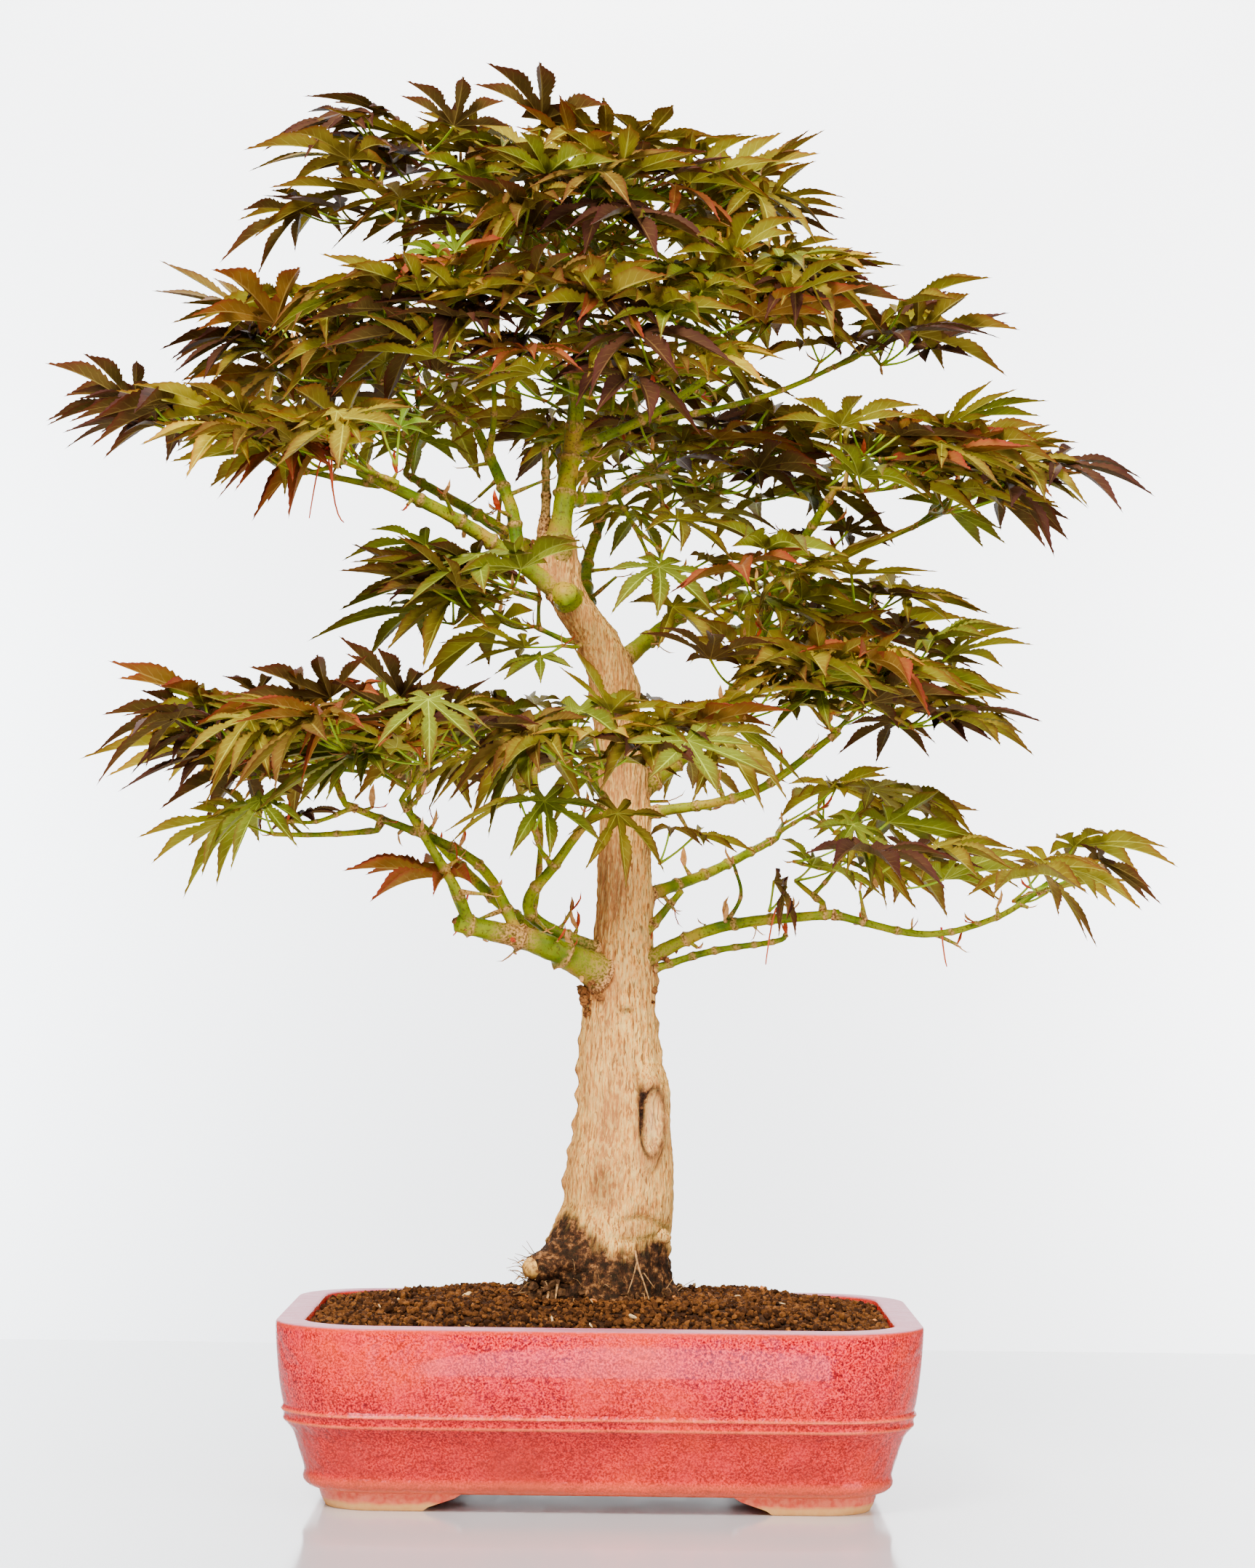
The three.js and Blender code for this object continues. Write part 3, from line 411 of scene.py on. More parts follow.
soil = lofted("soil_body", [soil_ring(*level) for level in SOIL_LEVELS] + [
    soil_ring(SOIL_LEVELS[-1][0], None, share) for share in np.linspace(0.985, 0.03, 44)
])
soil.data.materials.append(earth_material("damp_earth", (0.014, 0.006, 0.003), (0.070, 0.028, 0.010), 0.95))
smooth(soil, 60)
settle(soil, "soil", "soil")


class Heap:
    """Many small shapes gathered into one mesh, each with its faces, its map and its marks."""

    def __init__(self):
        self.points = []
        self.faces = []
        self.maps = []
        self.marks = []
        self.finishes = []
        self.count = 0

    def add(self, points, faces, places=None, marks=None, finishes=None):
        self.points.append(points)
        self.faces += [tuple(corner + self.count for corner in face) for face in faces]
        self.maps.append(np.zeros((len(points), 2)) if places is None else places)
        self.marks.append(np.zeros((len(points), 3)) if marks is None else marks)
        self.finishes += finishes or [0] * len(faces)
        self.count += len(points)

    def piece(self, name, finish, nodes, *materials, smoothed=60):
        """One piece of it all, moved from millimetres round the pot's middle to its place in metres."""
        points = np.concatenate(self.points) / 1000 + np.array(HOME)
        mesh = bpy.data.meshes.new(name)
        mesh.from_pydata(points.tolist(), [], self.faces)
        corners = np.zeros(len(mesh.loops), dtype=np.int64)
        mesh.loops.foreach_get("vertex_index", corners)
        layer = mesh.uv_layers.new(name="surface")
        layer.data.foreach_set("uv", np.concatenate(self.maps)[corners].ravel())
        marks = mesh.attributes.new("marks", "FLOAT_COLOR", "POINT")
        shades = np.concatenate([np.concatenate(self.marks), np.ones((self.count, 1))], axis=1)
        marks.data.foreach_set("color", shades.ravel())
        mesh.polygons.foreach_set("material_index", np.array(self.finishes, dtype=np.int32))
        for material in materials:
            mesh.materials.append(material)
        mesh.update()
        made = placed(name, mesh)
        if smoothed:
            smooth(made, smoothed)
        settle(made, finish, *nodes)


def crumb_shape():
    deselect()
    bpy.ops.mesh.primitive_ico_sphere_add(subdivisions=1, radius=1.0)
    crumb = bpy.context.object
    points = np.array([vertex.co[:] for vertex in crumb.data.vertices])
    faces = [tuple(face.vertices) for face in crumb.data.polygons]
    bpy.data.objects.remove(crumb)
    return points, faces


CRUMB_POINTS, CRUMB_FACES = crumb_shape()


def drawn(chance, low, high, count=3):
    """Numbers drawn at random between two others."""
    return np.array([chance.uniform(low, high) for _ in range(count)])


def add_crumb(heap, chance, place, sizes, roughness=0.22):
    """A rough grain of some size, turned anyhow."""
    lumps = drawn(chance, 1 - roughness, 1 + roughness, len(CRUMB_POINTS))[:, None]
    axis = Vector(drawn(chance, -1, 1)).normalized()
    turn = np.array(Matrix.Rotation(chance.uniform(0, 6.283), 3, axis))
    heap.add(CRUMB_POINTS * lumps * sizes @ turn.T + place, CRUMB_FACES)


granules = {kind: Heap() for kind in ("dark", "brown", "rust")}
chips = {kind: Heap() for kind in ("cream", "orange")}
soil_chance = random.Random(31)
laid = 0
while laid < GRANULES:
    x, y = soil_chance.uniform(-162, 162), soil_chance.uniform(-113, 113)
    if not inside_rim(x, y, 18.0):
        continue
    laid += 1
    size = soil_chance.choice((0.9, 1.1, 1.3, 1.6, 2.0))
    kind = soil_chance.choices(("dark", "brown", "rust"), (34, 42, 24))[0]
    sizes = size * drawn(soil_chance, 0.7, 1.3)
    lift = soil_chance.uniform(-0.8, 0.8)
    add_crumb(granules[kind], soil_chance, (x, y, soil_height(x, y) + lift), sizes, 0.3)
for _ in range(CHIPS):
    x, y = soil_chance.uniform(-155, 155), soil_chance.uniform(-108, 108)
    if inside_rim(x, y, 20):
        kind = soil_chance.choice(("cream", "cream", "orange"))
        sizes = [soil_chance.uniform(1.4, 3.6), soil_chance.uniform(1.0, 2.0), soil_chance.uniform(0.4, 0.9)]
        add_crumb(chips[kind], soil_chance, (x, y, soil_height(x, y) + 1.0), sizes)
EARTHS = {
    "dark": ((0.012, 0.004, 0.001), (0.060, 0.019, 0.004)),
    "brown": ((0.038, 0.012, 0.003), (0.150, 0.052, 0.011)),
    "rust": ((0.085, 0.023, 0.004), (0.260, 0.096, 0.020)),
    "cream": ((0.62, 0.36, 0.13), (0.92, 0.66, 0.34)),
    "orange": ((0.62, 0.14, 0.02), (0.86, 0.32, 0.06)),
}
for kind, heap in {**granules, **chips}.items():
    earth = earth_material(f"granule_{kind}", *EARTHS[kind])
    heap.piece(f"soil_granules_{kind}", "soil", ["soil"], earth, smoothed=None)


# Trunk: living wood that tapers up from a spread of old roots, leans and turns back on itself, and
# ends in a cut. Its beige bark is finely furrowed, with a healed oval scar and the dark line of a
# graft, and its foot is dark with moss and damp. A sawn root and a sawn bough stand out of it.

# Each row: height, sideways, backwards and half width
TRUNK = [
    (100, 0, 0, 46), (108, -0.5, 0, 43), (114, -0.8, 0, 41.5), (122, -0.6, 0, 39.5), (134, 1.6, 0, 36),
    (148, 6, 0, 33), (160, 9.3, 0, 30.7), (180, 9.5, 0, 30.2), (200, 11.3, 0, 27.4), (226, 12.2, 0, 25),
    (242, 8.8, 0, 22.3), (268, 8.6, 0, 20.6), (287, 9.6, 0, 20.4), (303, 10, 0, 17.4), (330, 11, 0, 15.4),
    (380, 10.9, 0, 14.6), (405, 8.6, -1, 14.1), (430, 5.2, -3, 12.8), (455, 3.1, -5, 14),
    (474, -3.5, -8, 12.6), (490, -14.8, -10, 13.4), (504, -24.6, -11, 11.9), (516, -30.6, -12, 12.8),
    (526, -31.8, -12, 13.4), (535, -31.5, -12, 12.4),
]
TRUNK_DEPTH = 0.92
RIDGES = {"count": 5, "share": 0.09, "fade": 14.0, "turn": 0.6}


def trunk_at(height):
    """Sideways, backwards and half width of the trunk at a height, eased between the rows."""
    rows = np.array(TRUNK, dtype=float)
    near = height + np.linspace(-5, 5, 11)
    near = np.clip(near, rows[0, 0], rows[-1, 0])
    return [float(np.interp(near, rows[:, 0], rows[:, column]).mean()) for column in (1, 2, 3)]


def swell(offset, width):
    """A smooth bump: 1 where the offset is none, next to nothing two widths away."""
    return math.exp(-((offset / width) ** 2))


def furrows(x, y, z):
    """How far the bark stands out at a place, and how deep in a furrow it lies, for painted shade in the
    furrows.
    """
    long = noise.noise(Vector((x * 0.42, y * 0.42, z * 0.035)))
    short = noise.noise(Vector((x * 0.9, y * 0.9, z * 0.16)) + Vector((7, 3, 1)))
    rough = noise.noise(Vector((x * 0.5, y * 0.5, z * 0.3)) + Vector((2, 8, 5)))
    lumps = noise.noise(Vector((x, y, z * 0.7)) / 19.0)
    foot = swell(min(150.0 - z, 0.0), 26.0)
    crusty = swell(min(134.0 - z, 0.0), 9.0) * noise.noise(Vector((x, y, z)) * 0.21)
    grain = 0.85 * long + 0.5 * short + 0.5 * rough + 1.9 * crusty
    return grain + (1.1 + 0.9 * foot) * lumps, max(0.0, -0.12 - grain) - 0.5 * min(0.0, lumps)


# Knobs on the trunk: place round it from its front middle, height, half width and how far it stands out
KNOBS = [
    (-37, 236, 4.5, 2.2), (-38, 221, 3.5, 2.8), (-42, 205, 4.5, 2.4), (-45, 190, 3.5, 2.2),
    (-34, 252, 3.0, 1.9), (-47, 172, 5.0, 2.6), (33, 262, 4.0, 1.6), (34, 246, 4.5, 1.6),
    (32, 286, 5.0, 1.6), (-28, 292, 5.0, 1.4), (-6, 262, 3.0, 0.8), (24, 330, 4.0, 1.0),
    (-23, 352, 4.0, 1.1), (21, 420, 4.0, 1.5), (-21, 448, 4.0, 1.8), (21, 452, 4.0, 1.6),
    (-20, 470, 4.0, 1.8), (20, 484, 4.0, 1.4), (-19, 508, 4.0, 1.4), (20, 520, 3.5, 1.8),
]


def trunk_relief(around, z, radius):
    """The trunk's scars, creases and graft: how far out, how dark, green, pale and stained, with painted
    shade in the dark and the stained.
    """
    reach = math.asin(max(-1.0, min(1.0, math.cos(around)))) * radius
    turned = Vector((math.cos(around) * 1.6, math.sin(around) * 1.6, z / 34.0))
    shade = swell(reach + 10.0, 8.0) * swell(z - 172.0, 14.0)
    ragged = 5.0 * noise.noise(Vector((around * 4.0, z / 7.0, 0.0)))
    ragged += 5.0 * noise.noise(Vector((around * 11.0, 3.0, 0.0)))
    damp_below = 134.0 + 22.0 * swell(reach + 30.0, 22.0) + 7.0 * swell(reach - 34.0, 14.0)
    # Each row: how strong a mark is here, then what it adds to those five
    rows = [
        (swell(max(reach + 0.5 * radius, 0.0), 0.55 * radius), 0, 0, 0, 0, 0.30),  # painted shade on the left flank
        (max(0.0, noise.noise(turned)), 0, 0, 0, 0, 0.60),  # patches
        (shade, 0, 0.45, 0, 0, 0.5),  # painted shade in the hollow above the roots
        (swell(z - 288.0, 9.0) * swell(reach + 14.0, 9.0), 0, 0, 0, 0, 0.5),  # under the low bough
        (swell(min(z - 400.0, 0.0), 30.0), 0, 0, 0, 0, 0.22),  # upper trunk
        # painted shade down the trunk's left edge, most round 360 mm up
        (swell(reach + 1.1 * radius, 0.6 * radius) * swell(z - 360.0, 45.0), 0, 0, 0, 0, 0.45),
        (1.0 / (1.0 + math.exp((z - damp_below - ragged) / 1.6)), 0, 1, 0, 0, 0),  # damp foot
        (swell(reach - 30.0, 12.0) * swell(z - 140.0, 12.0), 0, 0, 0.55, 0, 0),  # moss
        (swell(reach + 30.0, 12.0) * swell(z - 150.0, 10.0), 0, 0, 0.35, 0, 0),  # moss
    ]
    rows += [
        (swell(reach - side, size) * swell(z - height, size), rise, 0.10, 0, 0, 0.40)
        for side, height, size, rise in KNOBS if abs(z - height) < 3 * size
    ]
    if math.sin(around) < 0:
        scar = math.hypot((reach - 17.0) / 8.5, (z - 207.0) / 21.0)
        slit = swell(reach - 11.5 + (z - 207.0) * 0.10, 3.2) * swell(z - 213.0, 15.0)
        graft = swell(max(abs(reach + 1.0) - 8.0, 0.0), 2.5) * swell(max(abs(z - 438.0) - 3.0, 0.0), 1.6)
        fold = swell(z - 151.0 - 3.0 * math.sin(reach * 0.11), 1.5)
        fold += swell(z - 144.0 + 2.0 * math.sin(reach * 0.1), 1.4)
        rows += [
            (swell(scar - 1.05, 0.28), 2.9, 0, 0, 0, 0),  # lip of the healed scar
            (max(0.0, 1.0 - scar), -2.4, 0, 0, 0, 0),  # its hollow
            (max(0.0, 1.0 - scar) * (1.0 - slit), 0, 0, 0, 0.5, 0),  # its pale wood
            (swell(scar - 1.0, 0.30), 0, 0, 0, 0, 0.75),  # its stained rim
            (swell(scar - 0.92, 0.10), 0, 0.75, 0, 0, 0),  # its dark outline
            (slit, -4.2, 1.6, 0, 0, 0),  # the slit in it, dark with painted shade
            # a crack right of the scar, dark with painted shade
            (swell(reach - 24.0 - (z - 190.0) * 0.35, 1.1) * swell(z - 190.0, 9.0), -1.2, 0.7, 0, 0, 0),
            (swell(reach - 4.0, 5.0) * swell(z - 269.5, 1.8), -1.4, 0.75, 0, 0, 0),  # crease, dark with painted shade
            (graft, -0.7, 0.95, 0.35, 0, 0),  # line of the graft
            (fold * swell(min(reach - 14.0, 0.0), 12.0), -1.3, 0.35, 0.5, 0, 0),  # folds over the roots, with moss and painted shade in them
        ]
    out, dark, green, pale, stain_and_shade = (sum(row[0] * row[column] for row in rows) for column in range(1, 6))
    return out, min(dark, 1.0), min(green, 1.0), min(pale, 1.0), min(stain_and_shade, 0.9)


def closed_faces(levels, count):
    """Faces between rings of points, and from the first and last to the two points that follow them."""
    last, start, stop = (levels - 1) * count, levels * count, levels * count + 1
    faces = ring_faces(levels, count)
    faces += [((i + 1) % count, i, start) for i in range(count)]
    return faces + [(last + i, last + (i + 1) % count, stop) for i in range(count)]


def bark_material():
    paint = Paint("beige_bark")
    marks = paint.marks()
    upright = paint.node("Mapping", Vector=paint.spot["Object"], Scale=(1.0, 1.0, 0.16)).outputs[0]
    fibres = paint.noise(900, 3, 0.65, place=upright)
    flecks = paint.noise(760, 3, distortion=0.8, place=upright)
    patches, crust = paint.noise(30, 6, 0.62), paint.noise(230, 5, 0.7)
    beige = paint.band(
        fibres, (0.33, (0.30, 0.100, 0.018)), (0.44, (1.0, 0.43, 0.070)), (0.57, (1.0, 0.66, 0.18)),
    )
    toned = paint.mix(paint.band(patches, (0.48, 0.0), (0.66, 0.50)), beige, (0.62, 0.29, 0.080))
    warm = paint.mix(paint.band(patches, (0.30, 0.45), (0.44, 0.0)), toned, (0.92, 0.36, 0.06))
    flecked = paint.mix(paint.band(flecks, (0.57, 0.0), (0.64, 0.85)), warm, (0.18, 0.058, 0.014))
    # Brown where the map says: real stains, and painted shade on the left flank, the left edge, the hollow
    # above the roots and the furrows
    streaked = paint.maths("MULTIPLY", paint.split("UV")["X"], paint.band(fibres, (0.36, 1.25), (0.60, 0.55)))
    stained_and_shaded = paint.mix(streaked, flecked, (0.52, 0.20, 0.050))
    wood = paint.mix(marks["Blue"], stained_and_shaded, (0.62, 0.38, 0.20))
    mossy = paint.mix(paint.maths("MULTIPLY", marks["Green"], 0.6), wood, (0.26, 0.20, 0.020))
    # The bark takes this dark colour where the red marks lie: damp at the foot, and painted shade in the
    # furrows, slit, cracks, creases, folds and the hollow above the roots
    damp_and_shade = paint.band(
        crust, (0.42, (0.008, 0.003, 0.001)), (0.53, (0.055, 0.018, 0.006)), (0.66, (0.36, 0.15, 0.045)),
    )
    relief = paint.maths("ADD", paint.maths("MULTIPLY", fibres, 0.6), flecks)
    relief = paint.maths("ADD", relief, paint.maths("MULTIPLY", crust, marks["Red"]))
    return paint.surface(
        Base_Color=paint.mix(paint.maths("MULTIPLY", marks["Red"], 0.985), mossy, damp_and_shade),
        Normal=paint.bump(relief, 0.9, 0.0014), Roughness=0.78, Specular_IOR_Level=0.15,
    )


def cut_wood_material():
    paint = Paint("sawn_wood")
    wood = paint.band(paint.noise(380, 4), (0.38, (0.22, 0.080, 0.014)), (0.58, (0.84, 0.44, 0.080)))
    return paint.surface(Base_Color=wood, Roughness=0.8)


def unit(way):
    return way / np.linalg.norm(way)


def rod(path, radii, sides):
    """Rings round a path of points, with a point at either end, and the faces between them."""
    path = np.asarray(path, dtype=float)
    ways = np.gradient(path, axis=0)
    ways /= np.linalg.norm(ways, axis=1)[:, None]
    across = np.cross(ways[0], (0.0, 0.0, 1.0))
    if np.linalg.norm(across) < 0.1:
        across = np.array((1.0, 0.0, 0.0))
    rings = []
    turns = np.arange(sides) / sides * 2 * math.pi
    for place, way, radius in zip(path, ways, radii):
        across = unit(across - way * across.dot(way))
        up = np.cross(way, across)
        rings.append(place + radius * (np.cos(turns)[:, None] * across + np.sin(turns)[:, None] * up))
    ends = [path[0] - ways[0] * radii[0] * 0.3, path[-1] + ways[-1] * radii[-1] * 0.5]
    return np.vstack([*rings, *ends]), closed_faces(len(rings), sides)


def smooth_path(places, spacing):
    """A smooth curve through a few places, as points about as far apart as asked."""
    places = [np.asarray(place, dtype=float) for place in places]
    ends = [2 * places[0] - places[1], *places, 2 * places[-1] - places[-2]]
    points = [places[0]]
    for before, start, stop, after in zip(ends, ends[1:], ends[2:], ends[3:]):
        steps = max(2, int(round(np.linalg.norm(stop - start) / spacing)))
        for step in range(1, steps + 1):
            t = step / steps
            points.append(0.5 * (
                2 * start + (stop - before) * t + (2 * before - 5 * start + 4 * stop - after) * t ** 2
                + (3 * start - before - 3 * stop + after) * t ** 3
            ))
    return np.array(points)


trunk_heap = Heap()
TRUNK_SIDES = 210
TRUNK_STEP = 1.3
heights = np.arange(101.0, 534.6, TRUNK_STEP)
rings, marks, map_places = [], [], []
for z in heights:
    x0, y0, radius = trunk_at(z)
    fade = math.exp((GROUND - z) / RIDGES["fade"])
    for i in range(TRUNK_SIDES):
        around = i / TRUNK_SIDES * 2 * math.pi
        ridge = 1 + RIDGES["share"] * fade * math.cos(RIDGES["count"] * around + RIDGES["turn"])
        x, y = math.cos(around) * radius * ridge, math.sin(around) * radius * ridge * TRUNK_DEPTH
        out, dark, green, pale, stain_and_shade = trunk_relief(around, z, radius)
        stands_out, painted_furrow_shade = furrows(x0 + x, y0 + y, z)
        reach = 1 + (out + stands_out) / radius
        rings.append((x0 + x * reach, y0 + y * reach, z))
        # The furrows' depth is painted in as shade: darker bark and more of the brown
        marks.append((min(dark + 0.30 * painted_furrow_shade, 1.0), green, pale))
        map_places.append((min(stain_and_shade + 0.8 * painted_furrow_shade, 0.95), 0.5))
rings += [(0.0, 0.0, 100.0), (-31.5, -12.0, 535.2)]
marks += [(1, 0, 0), (0.3, 0, 0.6)]
map_places += [(0.5, 0.5), (0.5, 0.5)]
faces = closed_faces(len(heights), TRUNK_SIDES)
trunk_heap.add(np.array(rings), faces, np.array(map_places), np.array(marks, dtype=float))


def lumps_at(points, size):
    """Random but smooth ups and downs at some points, of about one size."""
    return np.array([noise.noise(Vector(point) / size) for point in points])


def add_stub(heap, start, stop, radii, dark, lumpiness, sides=40):
    """A sawn root or bough: a rough tube with bark marks, closed by its cut face."""
    path = smooth_path([start, stop], 1.2)
    points, faces = rod(path, radii[0] + (radii[1] - radii[0]) * np.linspace(0, 1, len(path)), sides)
    centre = np.repeat(path, sides, axis=0)
    body = points[:len(centre)]
    lumps = lumps_at(body, 6.0) + 0.5 * lumps_at(body, 2.0)
    body += (body - centre) * (lumps * lumpiness)[:, None]
    heap.add(points, faces, marks=np.tile((dark, 0.0, 0.0), (len(points), 1)))


add_stub(trunk_heap, (-15, -18, 128), (-38, -34, 125.5), (17.5, 6.8), 1.0, 0.22)
add_stub(trunk_heap, (34, -14, 143), (37.5, -17, 141.5), (4.6, 2.6), 0.25, 0.12, 16)
trunk_heap.piece("trunk_bark", "bark", ["trunk"], bark_material())

root_threads = Heap()
FINE_THREADS = 46
thread_chance = random.Random(19)
for places, width in (
    ([(19, -36, 136), (21, -41, 127), (24, -43, 119), (27, -45, 110)], 0.75),
    ([(20, -38, 130), (18, -42, 122), (15, -45, 113)], 0.55), ([(24, -40, 124), (30, -42, 116)], 0.4),
    ([(-31, -34, 118), (-29, -40, 112), (-31, -43, 106)], 1.1), ([(-24, -38, 117), (-25, -43, 109)], 0.8),
):
    path = smooth_path(places, 1.5)
    root_threads.add(*rod(path, np.linspace(width, width * 0.5, len(path)), 6))
for _ in range(FINE_THREADS):
    around = thread_chance.uniform(math.pi, 2 * math.pi)
    foot = np.array((math.cos(around) * 42, math.sin(around) * 39, thread_chance.uniform(108, 128)))
    if thread_chance.random() < 0.4:
        foot = np.array([thread_chance.uniform(*span) for span in ((-46, -34), (-36, -20), (118, 132))])
    out = unit(np.array((foot[0], foot[1], thread_chance.uniform(-10, 30)))) + drawn(thread_chance, -0.6, 0.6)
    end = foot + out * 9 + (0, 0, thread_chance.uniform(-3, 2))
    path = smooth_path([foot * 0.98, foot + out * 4, end], 1.2)
    root_threads.add(*rod(path, np.linspace(0.34, 0.16, len(path)), 5))
root_skin = earth_material("root_skin", (0.10, 0.040, 0.012), (0.62, 0.34, 0.13), 0.8)
root_threads.piece("root_threads", "bark", ["trunk"], root_skin)

# The face of the sawn root
sawn = Heap()
add_stub(sawn, (-37.5, -33.8, 125.6), (-40.4, -36.8, 125.2), (6.3, 4.8), 0.0, 0.10, 24)
sawn.piece("sawn_root_face", "bark", [], cut_wood_material(), smoothed=50)


# Boughs: young limbs with smooth green bark that tans with age, swollen at every joint, where last
# year's leaves left pale rings. Each grows out of the trunk or an older bough with a tan collar.

# Each row: what carries it, a height on the trunk or a share of that bough, places, tip, half widths
BOUGHS = {
    "left_low": ("trunk", 284, [(-36, -32, 306)], (-82, -50, 317), (9, 5)),
    "left_low_front": ("left_low", 0.93, [(-84, -60, 338)], (-110, -70, 380), (3.4, 2)),
    "left_low_outer": ("left_low", 0.66, [(-74, -36, 352)], (-140, -58, 380), (3.4, 1.9)),
    "left_low_back": ("left_low", 0.32, [(-62, 22, 330)], (-112, 62, 378), (4.2, 2.2)),
    "front_low": ("trunk", 296, [(-42, -26, 323), (-27, -38, 352)], (-3, -48, 384), (4.4, 2.1)),
    "right_low": ("trunk", 290, [(62, -18, 316)], (131, -30, 325), (4, 2.5)),
    "right_low_outer": (
        "right_low", 0.97, [(178, -32, 314), (217, -32, 323)], (243, -30, 339), (2.3, 1.5),
    ),
    "right_low_back": ("trunk", 330, [(58, 42, 348)], (96, 72, 368), (4, 2.2)),
    "back_low": ("trunk", 350, [(18, 62, 378)], (8, 106, 402), (4.5, 2.4)),
    "right_mid_thin": ("trunk", 379, [(80, -24, 392)], (126, -34, 424), (3.2, 1.9)),
    "right_mid": ("trunk", 388, [(52, 18, 425)], (86, 26, 470), (6.5, 4)),
    "right_front": ("right_mid", 0.95, [(96, 6, 512)], (124, -15, 560), (3.5, 2.3)),
    "right_upper": ("trunk", 462, [(51, 48, 505)], (98, 64, 532), (5.2, 3)),
    "back_upper": ("trunk", 482, [(-14, 62, 525)], (-4, 104, 565), (4.6, 2.6)),
    "left_up": ("trunk", 502, [(-82, -46, 540)], (-140, -60, 567), (5.2, 2.7)),
    "left_rise": ("left_up", 0.27, [(-56, -24, 552)], (-76, -2, 597), (4.2, 2.7)),
    "left_back": ("trunk", 520, [(-74, 34, 552)], (-118, 72, 580), (4.2, 2.4)),
    "apex": ("trunk", 517, [(-27, -24, 548), (-21, -8, 600)], (-18, 0, 652), (6.6, 4)),
    "right_fork": ("apex", 0.3, [(4, 22, 566)], (30, 46, 590), (4, 2.6)),
    "crown_right": ("apex", 0.52, [(24, -24, 606)], (68, -30, 636), (3.2, 2)),
    "apex_top": ("apex", 0.97, [(-28, -4, 700)], (-38, -6, 734), (3.6, 2)),
}


def lengths_along(path):
    """How far along a curve each of its points lies."""
    return np.concatenate([[0.0], np.cumsum(np.linalg.norm(np.diff(path, axis=0), axis=1))])


def along_path(path, share):
    """The place and the way of a curve at a share of its length."""
    gone = lengths_along(path)
    at = share * gone[-1]
    place = np.array([np.interp(at, gone, path[:, column]) for column in range(3)])
    index = min(int(np.searchsorted(gone, at)), len(path) - 1)
    return place, unit(path[max(index, 1)] - path[max(index, 1) - 1])


def limb_at(limb, at):
    """Place, way and half width of the trunk at a height, or of a bough at a share of its length."""
    if limb == "trunk":
        x, y, radius = trunk_at(at)
        return np.array((x, y, at)), np.array((0.0, 0.0, 1.0)), radius
    place, way = along_path(bough_paths[limb], at)
    wide, thin = BOUGHS[limb][4]
    return place, way, wide + (thin - wide) * at


def green_bark_material():
    paint = Paint("green_bark")
    marks = paint.marks()
    fine, patches = paint.noise(700, 3), paint.noise(48, 3)
    green = paint.band(
        patches, (0.34, (0.085, 0.150, 0.001)), (0.52, (0.24, 0.280, 0.002)), (0.70, (0.43, 0.36, 0.005)),
    )
    aged = paint.mix(paint.band(patches, (0.58, 0.0), (0.66, 0.55)), green, (0.50, 0.23, 0.035))
    specks = paint.mix(paint.band(fine, (0.55, 0.0), (0.64, 0.65)), aged, (0.065, 0.032, 0.006))
    tan = paint.band(fine, (0.40, (0.12, 0.040, 0.010)), (0.62, (0.80, 0.40, 0.12)))
    jointed = paint.mix(marks["Red"], specks, tan)
    return paint.surface(
        Base_Color=paint.mix(marks["Blue"], jointed, tan), Normal=paint.bump(fine, 0.35, 0.0006),
        Roughness=paint.band(marks["Red"], (0.0, 0.42), (1.0, 0.8)), Specular_IOR_Level=0.1,
    )


def add_limb(heap, path, radii, chance, gap, collar, sides=14, age=0.0, scab=0.0):
    """A limb swollen at its joints, with a collar at its foot; the marks tell joints and old bark."""
    gone = lengths_along(path)
    widths = radii[0] + (radii[1] - radii[0]) * gone / gone[-1]
    joints = [gap * chance.uniform(0.4, 0.9)]
    while joints[-1] < gone[-1]:
        joints.append(joints[-1] + gap * chance.uniform(0.7, 1.3))
    swollen = sum(np.exp(-((gone - joint) / 1.5) ** 2) for joint in joints)
    foot = np.exp(-(gone / collar) ** 2) if collar else np.zeros(len(gone))
    widths = widths * (1 + 0.30 * np.minimum(swollen, 1) + 0.45 * foot)
    points, faces = rod(path, widths, sides)
    centre = np.repeat(path, sides, axis=0)
    body = points[:len(centre)]
    lumps = lumps_at(body, 5.0) * 0.10 + 0.12 * np.repeat(swollen, sides) * lumps_at(body, 1.3)
    body += (body - centre) * lumps[:, None]
    share = gone / gone[-1]
    old = np.clip(age - share + scab * np.exp(-((share - 0.72) / 0.13) ** 2), 0, 1)
    ring_marks = np.stack([np.minimum(swollen * 0.85 + foot, 1.0), np.zeros(len(gone)), old], axis=1)
    marks = np.vstack([np.repeat(ring_marks, sides, axis=0), ring_marks[:1], ring_marks[-1:]])
    heap.add(points, faces, marks=marks)


green_bark = green_bark_material()
bough_paths = {}
limb_spots = [(*trunk_at(z)[:2], z, trunk_at(z)[2]) for z in range(110, 536, 6)]
bough_chance = random.Random(5)
for name, (carrier, at, via, tip, radii) in BOUGHS.items():
    foot, _, carrier_radius = limb_at(carrier, at)
    path = smooth_path([foot, *via, tip], 1.6)
    bough_paths[name] = path
    widths = radii[0] + (radii[1] - radii[0]) * np.linspace(0, 1, len(path))
    limb_spots += [(*place, width) for place, width in zip(path[::3], widths[::3])]
    heap = Heap()
    collar = carrier_radius + 5.0 if carrier == "trunk" else 5.0
    age = 0.35 if name in ("left_low", "front_low") else 0.0
    scab = 1.2 if name == "left_low" else 0.0
    add_limb(heap, path, radii, bough_chance, 24.0, collar, 20, age, scab)
    heap.piece(f"bough_{name}_bark", "green_bark", ["bough_" + name], green_bark)
limb_spots = np.array(limb_spots)


